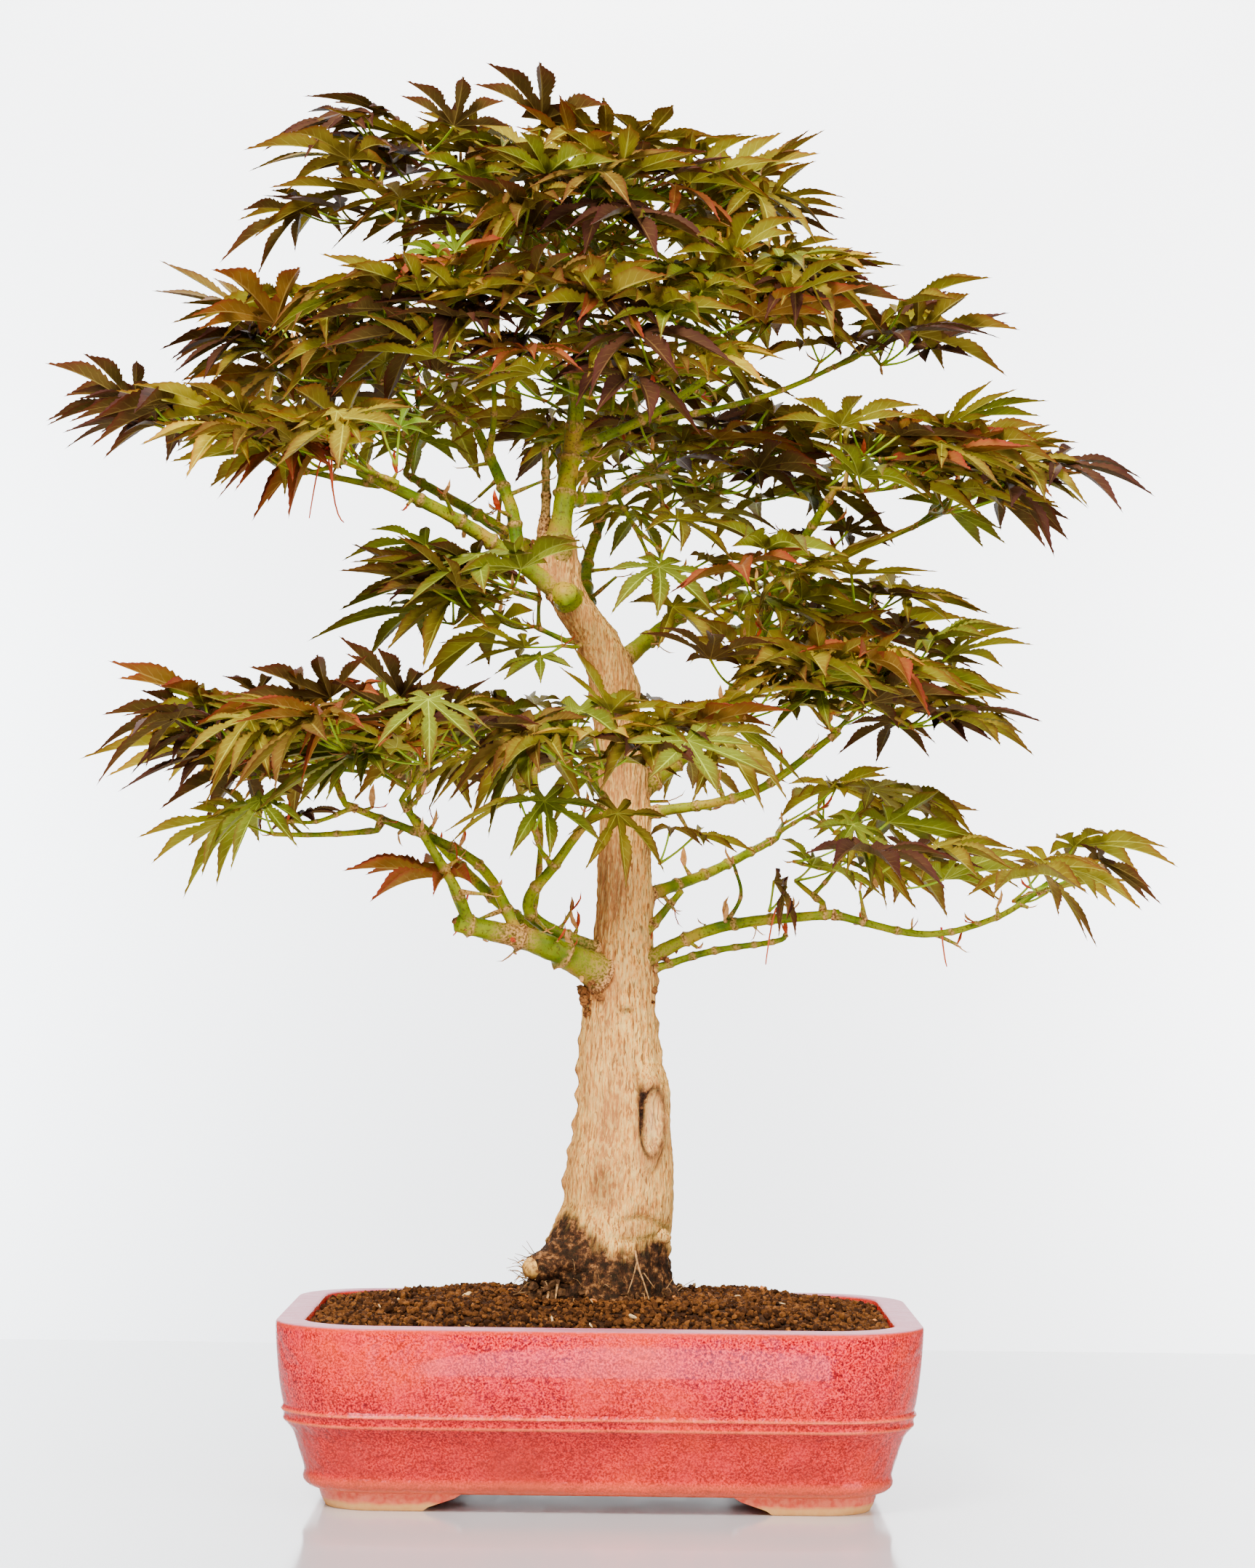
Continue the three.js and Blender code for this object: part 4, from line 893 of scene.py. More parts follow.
# Stubs and knots: bits of older growth on the trunk. A sawn bough greened over by new bark, a dead
# twig, a brown burl under the left bough, and torn bark at the top cut, all grown in one with it.
knots = Heap()
knot_chance = random.Random(12)
shoot = smooth_path([(12, -3, 300), (43, -8, 337)], 1.5)
add_limb(knots, shoot, (3.2, 1.7), knot_chance, 14.0, 22.0, 12)
sawn_bough = smooth_path([(-22, -15, 500), (-25.5, -27.5, 503)], 1.0)
add_limb(knots, sawn_bough, (8.6, 7.2), knot_chance, 50.0, 0, 22)
dead_twig = smooth_path([(-38, -16, 528), (-36.5, -15, 556), (-37.5, -14, 590)], 1.5)
add_limb(knots, dead_twig, (3.4, 1.8), knot_chance, 12.0, 6.0, 12, 1.2)
knots.piece("greened_stubs", "green_bark", [], green_bark)

burls = Heap()
for *place, size in (
    (-12, -10, 281, 5.2), (-6, -16, 285, 4.6), (-3, -18, 277, 3.8), (-11, -13, 274, 4.4), (-9, -12, 268, 3.4),
    (27, -5, 289, 3.8), (28, -7, 296, 3.2), (28, -7, 281, 2.8), (27, -8, 274, 2.0), (40, -10, 305, 3.6),
    (34, -10, 299, 3.2), (-43, -18, 532, 3.0), (-24, -19, 533, 3.4), (-79, -49, 316, 4.6),
    (-82, -50, 319, 3.2), (-75, -47, 319, 3.0),
):
    for _ in range(7):
        nudge = drawn(knot_chance, -0.5, 0.5) * size
        add_crumb(burls, knot_chance, place + nudge, size * drawn(knot_chance, 0.28, 0.62), 0.35)
root_lumps = Heap()
ROOT_LUMPS = 90
FRONT_LUMPS = 26
for _ in range(ROOT_LUMPS):
    around = knot_chance.uniform(0, 2 * math.pi)
    lift = knot_chance.uniform(106, 113)
    out = knot_chance.uniform(0.96, 1.08)
    size = knot_chance.uniform(1.2, 3.4)
    place = (math.cos(around) * 42 * out, math.sin(around) * 39 * out, lift)
    add_crumb(root_lumps, knot_chance, place, size * drawn(knot_chance, 0.5, 1.1), 0.35)
for _ in range(FRONT_LUMPS):
    place = [knot_chance.uniform(*span) for span in ((-40, -22), (-39, -30), (108, 119))]
    add_crumb(root_lumps, knot_chance, place, drawn(knot_chance, 1.5, 3.5), 0.35)
wet_root = earth_material("wet_root", (0.008, 0.003, 0.001), (0.13, 0.055, 0.018), 0.7)
root_lumps.piece("root_lumps", "bark", ["trunk"], wet_root, smoothed=None)
brown = earth_material("brown_burl", (0.035, 0.011, 0.003), (0.46, 0.18, 0.042), 0.85)
burls.piece("burls", "bark", [], brown, smoothed=None)


# Foliage: every spray grows by one rule from one stem, with a number drawn for each choice. Shoots
# end in a pair of leaves on long green stalks, and some have a third. The leaves have seven lobes
# with toothed edges and long drooping tips, and lie in flat layers.

# Each row: spray, the trunk or bough it grows on, height or share there, middle, spread, shoots, hang
MASSES = [
    ("right_low_tip", "right_low_outer", 1, (234, -28, 337), (18, 14, 5), 3, 2),
    ("right_low", "right_low", 0.93, (134, -34, 348), (42, 26, 12), 6, 2),
    ("right_low_back", "right_low_back", 1, (140, 86, 380), (38, 30, 10), 6, 4),
    ("left_low_hang", "left_low_outer", 0.86, (-180, -58, 364), (6, 6, 3), 1, 42),
    ("left_low_outer", "left_low_outer", 1, (-188, -42, 410), (38, 32, 18), 8, 2),
    ("left_low_front", "left_low_front", 1, (-112, -82, 416), (48, 28, 14), 9, 4),
    ("left_low_inner", "front_low", 0.45, (-62, -2, 416), (36, 34, 14), 6, 2),
    ("left_low_back", "left_low_back", 1, (-146, 90, 408), (46, 34, 14), 6, 4),
    ("front_low", "front_low", 1, (10, -76, 406), (36, 20, 12), 6, 10),
    ("back_low", "back_low", 1, (0, 110, 420), (46, 26, 14), 6, 6),
    ("right_mid_front", "right_mid_thin", 1, (144, -42, 442), (40, 30, 16), 7, 0),
    ("right_mid_near", "right_mid", 0.55, (84, -58, 446), (28, 18, 16), 5, 0),
    ("right_mid", "right_front", 0.4, (106, -26, 496), (54, 34, 12), 7, 2),
    ("right_back", "right_upper", 0.7, (110, 88, 494), (52, 34, 26), 7, 4),
    ("left_shoulder", "trunk", 478, (-64, -22, 498), (30, 30, 18), 7, 2),
    ("right_up_front", "right_front", 1, (144, -32, 576), (44, 32, 16), 8, 0),
    ("right_far", "right_upper", 0.9, (198, 26, 562), (26, 30, 12), 5, 0),
    ("right_sprig", "crown_right", 0.5, (146, -6, 644), (10, 9, 8), 3, -22),
    ("left_up_under", "left_up", 0.85, (-160, -70, 572), (38, 24, 10), 6, 2),
    ("left_sprig", "left_up", 0.9, (-238, -20, 594), (12, 14, 5), 3, -2),
    ("left_crown", "left_rise", 1, (-150, -10, 636), (46, 40, 20), 9, 2),
    ("left_crown_front", "left_rise", 0.8, (-84, -76, 642), (42, 22, 24), 8, 4),
    ("left_back", "left_back", 1, (-130, 92, 614), (48, 34, 22), 7, 4),
    ("crown_front", "apex", 0.6, (4, -78, 630), (42, 22, 28), 9, 4),
    ("crown_right", "crown_right", 1, (70, -36, 662), (36, 32, 24), 8, 0),
    ("crown_back", "back_upper", 1, (-2, 106, 616), (52, 30, 28), 7, 6),
    ("crown_heart", "right_fork", 0.6, (54, 50, 574), (40, 34, 30), 8, 2),
    ("top_left", "apex", 0.86, (-118, -8, 732), (36, 30, 28), 8, -2),
    ("top_front", "apex", 0.94, (-18, -56, 706), (44, 26, 18), 8, 2),
    ("top_right", "apex_top", 0.5, (30, -4, 726), (32, 32, 16), 7, -4),
    ("apex", "apex_top", 1, (-26, -8, 743), (28, 26, 8), 6, -10),
    ("top_back", "apex_top", 0.2, (-26, 70, 704), (46, 32, 20), 7, 4),
]
JOINT_SHARES = (0.35, 0.6, 0.85)
SIDE_SHOOT_SHARES = (0.4, 0.72)
# Of the places where each of them could be, the share that has one
THIRD_LEAVES = 0.45
BUDS = 0.6
SIDE_SHOOTS = 0.42
LEAF_LENGTH = 60.0
PETIOLE = 32.0
CLEARANCE = 0.3


def drawn_numbers(seed):
    """The same numbers between 0 and 1 for the same seed."""
    state = seed
    while True:
        state = (state * 1664525 + 1013904223) % 4294967296
        yield state / 4294967296


def between(numbers, low, high):
    return low + (high - low) * next(numbers)


def flat_distance(a, b):
    gap = np.array(a) - np.array(b)
    return math.hypot(gap[0], gap[1], gap[2] * 2)


def shoot_tips(middle, spread, shoots, numbers):
    """Tips spread evenly through a spray: each is the best of a few places drawn at random."""
    tips = []
    for _ in range(shoots):
        best, room = None, -1
        for _ in range(7):
            angle = next(numbers) * 2 * math.pi
            out = math.sqrt(next(numbers))
            up = between(numbers, -1, 1) * math.sqrt(1 - out * out * 0.6)
            tip = np.array(middle) + np.array(
                (math.cos(angle) * out * spread[0], math.sin(angle) * out * spread[1], up * spread[2])
            )
            nearest = min([flat_distance(tip, other) for other in tips] + [1e3])
            if nearest > room:
                best, room = tip, nearest
        tips.append(best)
    return tips


def grow_twigs(on, at, tips):
    """Twigs from one stem: each tip joins the nearest place on what has grown already."""
    foot, way, radius = limb_at(on, at)
    tips = sorted(tips, key=lambda tip: np.linalg.norm(tip - foot))
    if at == 1:
        start = [foot - way * 2.0, foot + way * 5.0]
    else:
        out = tips[0] - foot
        out = unit(out - way * out.dot(way))
        start = [foot + out * radius * 0.6, foot + out * (radius + CLEARANCE + 5.0)]
    twigs = [{"start": start[0], "from": start[1], "tip": tips[0]}]
    for tip in tips[1:]:
        best = None
        for twig in twigs:
            for share in JOINT_SHARES:
                place = twig["from"] + (twig["tip"] - twig["from"]) * share
                away = np.linalg.norm(place - tip)
                if best is None or away < best[0]:
                    best = (away, place, twig, share)
        twigs.append({"from": best[1], "tip": tip, "on": best[2], "share": best[3]})
    return twigs


def way_at(turn, rise):
    """The way that points round by one angle and up by another."""
    return np.array((math.cos(turn) * math.cos(rise), math.sin(turn) * math.cos(rise), math.sin(rise)))


def leaves_of(twig, hang, numbers):
    """The leaves at a shoot's tip: one to each side, and on some shoots one straight ahead."""
    tip = twig["tip"]
    along = unit((tip - twig["from"])[:2])
    heading = along * 0.5 + unit(tip[:2])
    course = math.atan2(heading[1], heading[0])
    leaves = []
    for side in (1, -1, 0):
        turn = course + math.radians(side * between(numbers, 42, 70) + between(numbers, -14, 14))
        petiole = PETIOLE * between(numbers, 0.7, 1.2)
        rise = math.radians(between(numbers, 8, 42))
        length = LEAF_LENGTH * between(numbers, 0.78, 1.1)
        tilt = math.radians(hang + 8 + between(numbers, -26, 28))
        roll = math.radians(between(numbers, -24, 24))
        yaw = turn + math.radians(-side * between(numbers, 8, 30))
        if side != 0 or next(numbers) < THIRD_LEAVES:
            leaves.append({"node": tip, "junction": tip + petiole * way_at(turn, rise), "yaw": yaw,
                           "hang": tilt, "roll": roll, "length": length})
    return leaves


# The seven lobes and the notches between them: the angle each points at, and its share of the length
LOBES = [(-128, 0.34), (-80, 0.70), (-39, 0.92), (0, 1.0), (39, 0.92), (80, 0.70), (128, 0.34)]
NOTCHES = [(-103, 0.13), (-59, 0.17), (-19, 0.21), (19, 0.21), (59, 0.17), (103, 0.13)]


def toothed_edge(widths, teeth):
    """Places along a lobe and its half width there, with teeth that point towards the tip."""
    places, halves = zip(*widths)
    edge = []
    for k in range(teeth):
        along = 0.30 + 0.64 * k / (teeth - 1)
        half = float(np.interp(along, places, halves))
        edge += [(along, half + 0.011), (along + 0.020, max(half - 0.007, 0.006))]
    return edge


LONG_EDGE = toothed_edge([
    (0.30, 0.078), (0.42, 0.122), (0.54, 0.140), (0.66, 0.116), (0.77, 0.066), (0.87, 0.026), (1.0, 0.0),
], 10)
SHORT_EDGE = [(0.50, 0.30), (0.68, 0.24), (0.85, 0.10)]


def leaf_pattern():
    """A leaf lying flat: for each point its lobe, place along it and across it, map and layer."""
    spots = []

    def spot(lobe, along, across, edge, layer):
        spots.append((lobe, along, across, edge, layer))
        return len(spots) - 1

    faces, sides = [], []
    middle = {1: spot(3, 0.0, 0.0, 0.0, 1), -1: spot(3, 0.0, 0.0, 0.0, -1)}
    notch_spots = []
    for index, ((angle, share), (lobe_angle, lobe_share)) in enumerate(zip(NOTCHES, LOBES)):
        turn = math.radians(angle - lobe_angle)
        along, across = share * math.cos(turn) / lobe_share, share * math.sin(turn) / lobe_share
        notch_spots.append(spot(index, along, across, 1.0, 0))
    turn = math.radians(180 - 6 - 128)
    base = 0.05 / 0.34
    base_right = spot(0, base * math.cos(turn), -base * math.sin(turn), 1.0, 0)
    base_left = spot(6, base * math.cos(turn), base * math.sin(turn), 1.0, 0)
    starts = [base_right, *notch_spots, base_left]
    for lobe, (angle, share) in enumerate(LOBES):
        edge = SHORT_EDGE if share < 0.5 else LONG_EDGE
        tip = spot(lobe, 1.0, 0.0, 1.0, 0)
        first = 0.42 if share < 0.5 else 0.24
        ribs = {
            layer: [spot(lobe, along, 0.0, 0.0, layer) for along in (first, *[along for along, _ in edge])]
            for layer in (1, -1)
        }
        for side, start in ((-1, starts[lobe]), (1, starts[lobe + 1])):
            rim = [start] + [spot(lobe, along, side * across, 1.0, 0) for along, across in edge] + [tip]
            for layer in (1, -1):
                rib = ribs[layer] + [tip]
                made = [(middle[layer], rib[0], rim[0])]
                for k in range(len(rim) - 2):
                    made.append((rib[k], rib[k + 1], rim[k + 1], rim[k]))
                made.append((rib[-2], rib[-1], rim[-2]))
                faces += [face if side * layer > 0 else face[::-1] for face in made]
                sides += [0 if layer > 0 else 1] * len(made)
    faces += [(middle[1], base_left, base_right), (middle[-1], base_right, base_left)]
    sides += [0, 1]
    return np.array(spots), faces, sides


PATTERN, LEAF_FACES, LEAF_SIDES = leaf_pattern()
LOBE_OF = PATTERN[:, 0].astype(int)
ALONG, ACROSS, EDGE, LAYER = PATTERN[:, 1:].T
LOBE_ANGLES, LOBE_SHARES = np.array(LOBES).T
SHARE = LOBE_SHARES[LOBE_OF]
LEAF_MAP = np.stack([EDGE, np.clip(ALONG, 0, 1)], axis=1)


def leaf_points(leaf, chance):
    """The pattern bent, folded and drooped as one leaf, and set on its stalk."""
    length = leaf["length"]
    angles = np.radians(LOBE_ANGLES + drawn(chance, -5, 5, 7))[LOBE_OF]
    sizes = SHARE * drawn(chance, 0.88, 1.06, 7)[LOBE_OF]
    bends = drawn(chance, -0.10, 0.10, 7)[LOBE_OF]
    rises = chance.uniform(-0.10, 0.42) + drawn(chance, -0.1, 0.1, 7)[LOBE_OF]
    droops = chance.uniform(0.04, 0.36) + drawn(chance, -0.1, 0.1, 7)[LOBE_OF]
    slim = chance.uniform(0.56, 0.80)
    fold = chance.uniform(0.30, 0.95)
    ahead = np.stack([np.cos(angles), np.sin(angles)], axis=1)
    aside = np.stack([-np.sin(angles), np.cos(angles)], axis=1)
    widths = ACROSS * np.where(ALONG > 0.25, slim, 1.0) + bends * ALONG ** 2
    flat = (ahead * ALONG[:, None] + aside * widths[:, None]) * sizes[:, None]
    lift = (fold * np.abs(ACROSS) + rises * ALONG - droops * ALONG ** 2) * sizes
    local = np.column_stack([flat * length, lift * length + LAYER * 0.22])
    turn = Matrix.Rotation(leaf["yaw"], 3, "Z") @ Matrix.Rotation(leaf["hang"], 3, "Y")
    turn = turn @ Matrix.Rotation(leaf["roll"], 3, "X")
    return local @ np.array(turn).T + leaf["junction"]


def leaf_material(name, body, edge, vein, roughness):
    """A leaf's colour, darker or redder towards its edges and tips, with paler veins."""
    paint = Paint(name)
    across, along, _ = paint.split("UV")
    patches = paint.noise(55, 3)
    outer, far = paint.band(across, (0.62, 0.0), (1.0, 0.55)), paint.band(along, (0.45, 0.0), (1.0, 0.85))
    redder = paint.maths("ADD", outer, far)
    redder = paint.maths("MULTIPLY_ADD", patches, 0.9, paint.maths("SUBTRACT", redder, 0.50))
    toned = paint.mix(paint.band(redder, (0.08, 0.0), (0.85, 1.0)), body, edge)
    darker = tuple(0.45 * part for part in body)
    mottled = paint.mix(paint.band(patches, (0.46, 0.0), (0.70, 0.50)), toned, darker)
    branch = paint.maths("PINGPONG", paint.maths("MULTIPLY_ADD", across, -0.20, along), 0.055)
    side_veins = paint.maths(
        "MULTIPLY", paint.band(paint.maths("MULTIPLY", branch, 18.0), (0.05, 0.55), (0.22, 0.0)),
        paint.band(across, (0.0, 1.0), (0.9, 0.0)),
    )
    veins = paint.maths("MAXIMUM", paint.band(across, (0.04, 1.0), (0.11, 0.0)), side_veins)
    return paint.surface(
        Base_Color=paint.mix(paint.maths("MULTIPLY", veins, 0.72), mottled, vein),
        Normal=paint.bump(veins, 0.35, 0.0005), Roughness=roughness, Specular_IOR_Level=0.06,
        Specular_Tint=(1.0, 0.82, 0.45),
    )


def stalk_material(name, fresh, red):
    paint = Paint(name)
    ends = paint.band(paint.split("UV")["Y"], (0.0, 0.9), (0.14, 0.15), (0.8, 0.0), (1.0, 0.4))
    shade = paint.maths("MULTIPLY_ADD", paint.noise(40), 1.3, paint.maths("SUBTRACT", ends, 0.55))
    return paint.surface(
        Base_Color=paint.mix(paint.band(shade, (0.1, 0.0), (0.9, 1.0)), fresh, red), Roughness=0.45,
        Specular_IOR_Level=0.07,
    )


# The tints of the leaves: body, edge and veins of the upper side, and then of the underside
TINTS = {
    "olive": ((0.260, 0.195, 0.013), (0.130, 0.036, 0.010), (0.62, 0.60, 0.06),
              (0.330, 0.290, 0.016), (0.26, 0.088, 0.013), (0.64, 0.66, 0.08)),
    "bronze": ((0.175, 0.102, 0.014), (0.112, 0.026, 0.011), (0.44, 0.33, 0.05),
               (0.245, 0.180, 0.015), (0.20, 0.050, 0.012), (0.50, 0.42, 0.06)),
    "purple": ((0.070, 0.027, 0.013), (0.060, 0.013, 0.012), (0.19, 0.105, 0.030),
               (0.104, 0.062, 0.013), (0.13, 0.024, 0.012), (0.27, 0.19, 0.04)),
    "red": ((0.255, 0.074, 0.015), (0.25, 0.026, 0.014), (0.48, 0.22, 0.05),
            (0.280, 0.140, 0.015), (0.30, 0.043, 0.015), (0.52, 0.32, 0.06)),
    "gold": ((0.470, 0.345, 0.014), (0.32, 0.100, 0.012), (0.76, 0.70, 0.09),
             (0.500, 0.405, 0.018), (0.36, 0.135, 0.014), (0.78, 0.72, 0.10)),
    "green": ((0.160, 0.185, 0.013), (0.135, 0.055, 0.011), (0.50, 0.60, 0.06),
              (0.235, 0.265, 0.015), (0.20, 0.095, 0.013), (0.56, 0.64, 0.08)),
    "young": ((0.240, 0.410, 0.020), (0.24, 0.200, 0.018), (0.60, 0.78, 0.10),
              (0.280, 0.470, 0.024), (0.24, 0.200, 0.018), (0.62, 0.82, 0.12)),
}


# Sprays apart from the rest: how much redder, more purple and more golden they are, and the share of
# their leaves that is there, because the light shows through some
PLAIN_LOOK = (0.0, 0.0, 0.0, 1.0)
LOOKS = {
    "left_low_outer": (6.0, 6.0, 0.4, 1.0), "left_low_front": (1.6, 1.2, 0.0, 1.0),
    "left_low_hang": (0.0, 0.0, 1.0, 1.0), "left_low_back": (0.0, 0.0, 0.0, 0.75),
    "front_low": (3.5, 1.5, 0.8, 1.0), "back_low": (0.0, 0.0, 0.0, 0.75),
    "right_low_tip": (0.5, 2.5, 0.0, 0.85), "right_low": (0.2, 1.5, 0.0, 0.62),
    "right_low_back": (0.0, 0.0, 0.0, 0.40), "right_mid_front": (1.6, 0.4, 1.4, 1.0),
    "right_mid": (0.0, 0.0, 1.4, 0.80), "right_back": (0.0, 0.0, 0.0, 0.72),
    "right_up_front": (0.0, 0.0, 0.0, 0.85), "right_far": (0.5, 3.0, 0.0, 1.0),
    "right_sprig": (2.0, 2.0, 0.0, 1.0), "left_up_under": (0.0, 0.0, 1.2, 0.80),
    "left_crown": (1.0, 2.5, 0.0, 1.0), "left_back": (0.0, 0.0, 0.0, 0.80),
    "top_left": (0.4, 2.5, 0.0, 1.0), "top_back": (0.0, 0.0, 0.0, 0.70),
}
ALL_PURPLE = "left_sprig"
# A spray with no more than this share of its leaves has no side shoots either
AIRY = 0.75


def spray_tints(name, middle):
    """How often each tint comes in a spray: darker at the top and outside, greener within."""
    if name == ALL_PURPLE:
        return {"purple": 1.0}
    red, purple, gold, _ = LOOKS.get(name, PLAIN_LOOK)
    high = (middle[2] - 560) / 200
    out = min(math.hypot(middle[0], middle[1]) / 200, 1.0)
    dark = max(0.0, 0.4 + 0.4 * high + 0.3 * out)
    return {
        "olive": 4.6, "bronze": 1.6 + 2.0 * dark, "purple": 0.6 + 1.9 * dark + purple,
        "red": 0.3 + 0.4 * out + red, "gold": max(1.2 - 0.9 * dark, 0.1) + gold, "green": 2.6 - 1.0 * dark,
    }


# Leaves that stand alone: spray, node, where the blade starts, then its turns, length and tint
LONE_LEAVES = [
    ("left_low_front", (-80, -50, 322), (-88, -54, 342), 184, 4, -12, 62, "red"),
    ("left_low_front", (-80, -50, 322), (-70, -58, 338), 160, -8, 10, 40, "bronze"),
    ("right_low", (30, -14, 352), (50, -22, 368), 8, 18, 8, 36, "olive"),
    ("right_low", (30, -14, 352), (36, -26, 372), -50, 10, 0, 30, "bronze"),
    ("right_low", (92, -26, 326), (93, -62, 342), 10, 80, 14, 34, "purple"),
    ("right_low", (92, -26, 326), (100, -60, 339), 168, 84, -10, 28, "purple"),
    ("crown_right", (58, -40, 628), (67, -62, 662), 100, -62, 6, 60, "gold"),
    ("left_crown_front", (-90, -84, 664), (-96, -92, 682), 205, -12, 10, 26, "young"),
    ("left_crown_front", (-90, -84, 664), (-86, -94, 684), 250, -30, -8, 24, "young"),
    ("left_up_under", (-118, -74, 568), (-125, -84, 586), 215, -18, 8, 24, "young"),
    ("left_up_under", (-118, -74, 568), (-116, -84, 588), 290, -24, -6, 22, "young"),
    ("left_shoulder", (-26, -24, 474), (-47, -34, 472), 186, 8, 12, 46, "olive"),
    ("left_shoulder", (-26, -24, 474), (-38, -40, 466), 232, 26, -8, 34, "green"),
    ("crown_heart", (30, 2, 530), (38, -8, 548), 330, 34, 8, 50, "olive"),
    ("crown_heart", (30, 2, 530), (28, -14, 520), 268, 42, -6, 52, "green"),
    ("crown_heart", (14, 12, 546), (6, -4, 552), 228, 30, 10, 46, "bronze"),
    ("crown_heart", (26, 4, 512), (36, -6, 498), 300, 44, 0, 48, "olive"),
    ("crown_heart", (26, 4, 512), (14, -8, 506), 240, 52, 12, 40, "green"),
    ("crown_heart", (40, 12, 520), (56, 4, 526), 350, 20, -10, 52, "bronze"),
    ("left_low_hang", (-176, -58, 372), (-190, -62, 380), 190, 38, 6, 66, "green"),
    ("front_low", (-40, -64, 368), (-48, -76, 386), 205, 30, 10, 50, "olive"),
    ("front_low", (-40, -64, 368), (-34, -78, 384), 285, 58, -6, 48, "green"),
    ("front_low", (-8, -56, 384), (6, -74, 378), 300, 62, 8, 46, "olive"),
]
# Twigs for them, through a few places, with their half widths
LONE_TWIGS = [
    ([(3, 22, 565), (14, 12, 546), (30, 2, 530)], (1.5, 1.0)),
    ([(14, 12, 546), (22, 8, 528), (26, 4, 512)], (1.2, 0.9)),
    ([(22, 8, 530), (40, 12, 520)], (1.1, 0.9)),
    ([(-10, -10, 480), (-18, -18, 474), (-26, -24, 474)], (1.6, 1.0)),
    ([(28, -6, 293), (60, -10, 303), (96, -16, 309), (102, -18, 313)], (2.4, 1.4)),
    ([(66, -18, 316), (76, -22, 334), (72, -20, 352)], (1.4, 0.9)),
    ([(-30, -36, 350), (-36, -52, 358), (-40, -64, 368)], (1.5, 1.0)),
    ([(-140, -58, 380), (-160, -60, 372), (-176, -58, 372)], (1.4, 0.9)),
]
# Stalks that lost their leaf: start, end and sag
DRY_STALKS = [
    ((-156, -76, 578), (-165, -80, 538), -0.2), ((-156, -76, 578), (-146, -78, 536), 0.25),
    ((-154, -74, 576), (-151, -80, 547), 0.2), ((188, -32, 318), (191, -36, 296), 0.15),
    ((-76, -50, 334), (-84, -52, 310), 0.2), ((96, -28, 328), (90, -32, 296), -0.15),
]

# The commonest tint makes two pieces, parted by height, because one would be too heavy
TINTS["olive_low"] = TINTS["olive"]
OLIVE_PARTED_AT = 470.0
# Short spurs along the boughs: the gap between their places, and the share of those that stays bare
SPUR_GAP = 13.0
BARE_SPURS = 0.35
leaf_heaps = {tint: Heap() for tint in TINTS}
leaf_nodes = {tint: set() for tint in TINTS}
petioles = Heap()
dry_stalks = Heap()
twigs_heap = Heap()
scales = {"cream": Heap(), "crimson": Heap()}
shape_chance = random.Random(77)


def bowed(twig, share):
    """A place on a twig, which bows a little to one side."""
    start = twig["bowed_from"]
    return start + (twig["tip"] - start) * share + twig["bow"] * math.sin(math.pi * share)


def touches_limb(points):
    """True where a leaf would run into the trunk or a bough."""
    gaps = np.linalg.norm(points[:, None, :] - limb_spots[None, :, :3], axis=2)
    return bool((gaps < limb_spots[None, :, 3] + 0.6).any())


def add_scale(heap, place, way, length):
    """A bud scale: a thin pointed shell curling away from its node."""
    side = np.cross(way, (0.0, 0.0, 1.0))
    side /= max(np.linalg.norm(side), 1e-6)
    up = np.cross(side, way)
    width = length * shape_chance.uniform(0.10, 0.18)
    rows = []
    for t, w in ((0.0, 0.5), (0.4, 1.0), (0.75, 0.7)):
        centre = place + way * length * t + up * length * 0.25 * t * t
        rows += [centre - side * width * w, centre + up * 0.4, centre + side * width * w, centre - up * 0.3]
    tip = place + way * length + up * length * 0.4
    faces = ring_faces(3, 4) + [(8 + i, 8 + (i + 1) % 4, 12) for i in range(4)] + [(3, 2, 1, 0)]
    heap.add(np.array(rows + [tip]), [face[::-1] for face in faces])


def add_stalk(heap, start, stop, sag, widths=(1.1, 0.84, 0.72, 0.68, 0.68, 0.72, 0.9)):
    """A thin stalk that sags a little on its way, red at its foot by the map along it."""
    gap = np.asarray(stop, dtype=float) - start
    drop = np.array((0.0, 0.0, -sag * np.linalg.norm(gap)))
    path = [start + gap * t + drop * math.sin(math.pi * t) for t in np.linspace(0, 1, len(widths))]
    points, faces = rod(path, widths, 6)
    places = np.zeros((len(points), 2))
    places[:-2, 1] = np.repeat(np.linspace(0, 1, len(widths)), 6)
    places[-1, 1] = 1.0
    heap.add(points, faces, places)


def add_leaf(leaf, tints, node):
    """A leaf in one of its spray's tints with the stalk it stands on; False where it would cut a limb."""
    points = leaf_points(leaf, shape_chance)
    if touches_limb(points[::5]):
        return False
    tint = shape_chance.choices(list(tints), list(tints.values()))[0]
    if tint == "olive" and leaf["junction"][2] < OLIVE_PARTED_AT:
        tint = "olive_low"
    leaf_heaps[tint].add(points, LEAF_FACES, LEAF_MAP, finishes=LEAF_SIDES)
    leaf_nodes[tint].add(node)
    add_stalk(petioles, leaf["node"], leaf["junction"], shape_chance.uniform(0.02, 0.10))
    return True


def add_bud(place, way):
    """One to three papery bud scales round the end of a shoot."""
    for _ in range(shape_chance.choice((1, 2, 3))):
        lean = unit(way + drawn(shape_chance, -0.8, 0.8))
        kind = shape_chance.choice(("cream", "cream", "cream", "crimson"))
        add_scale(scales[kind], place, lean, shape_chance.uniform(5, 13))


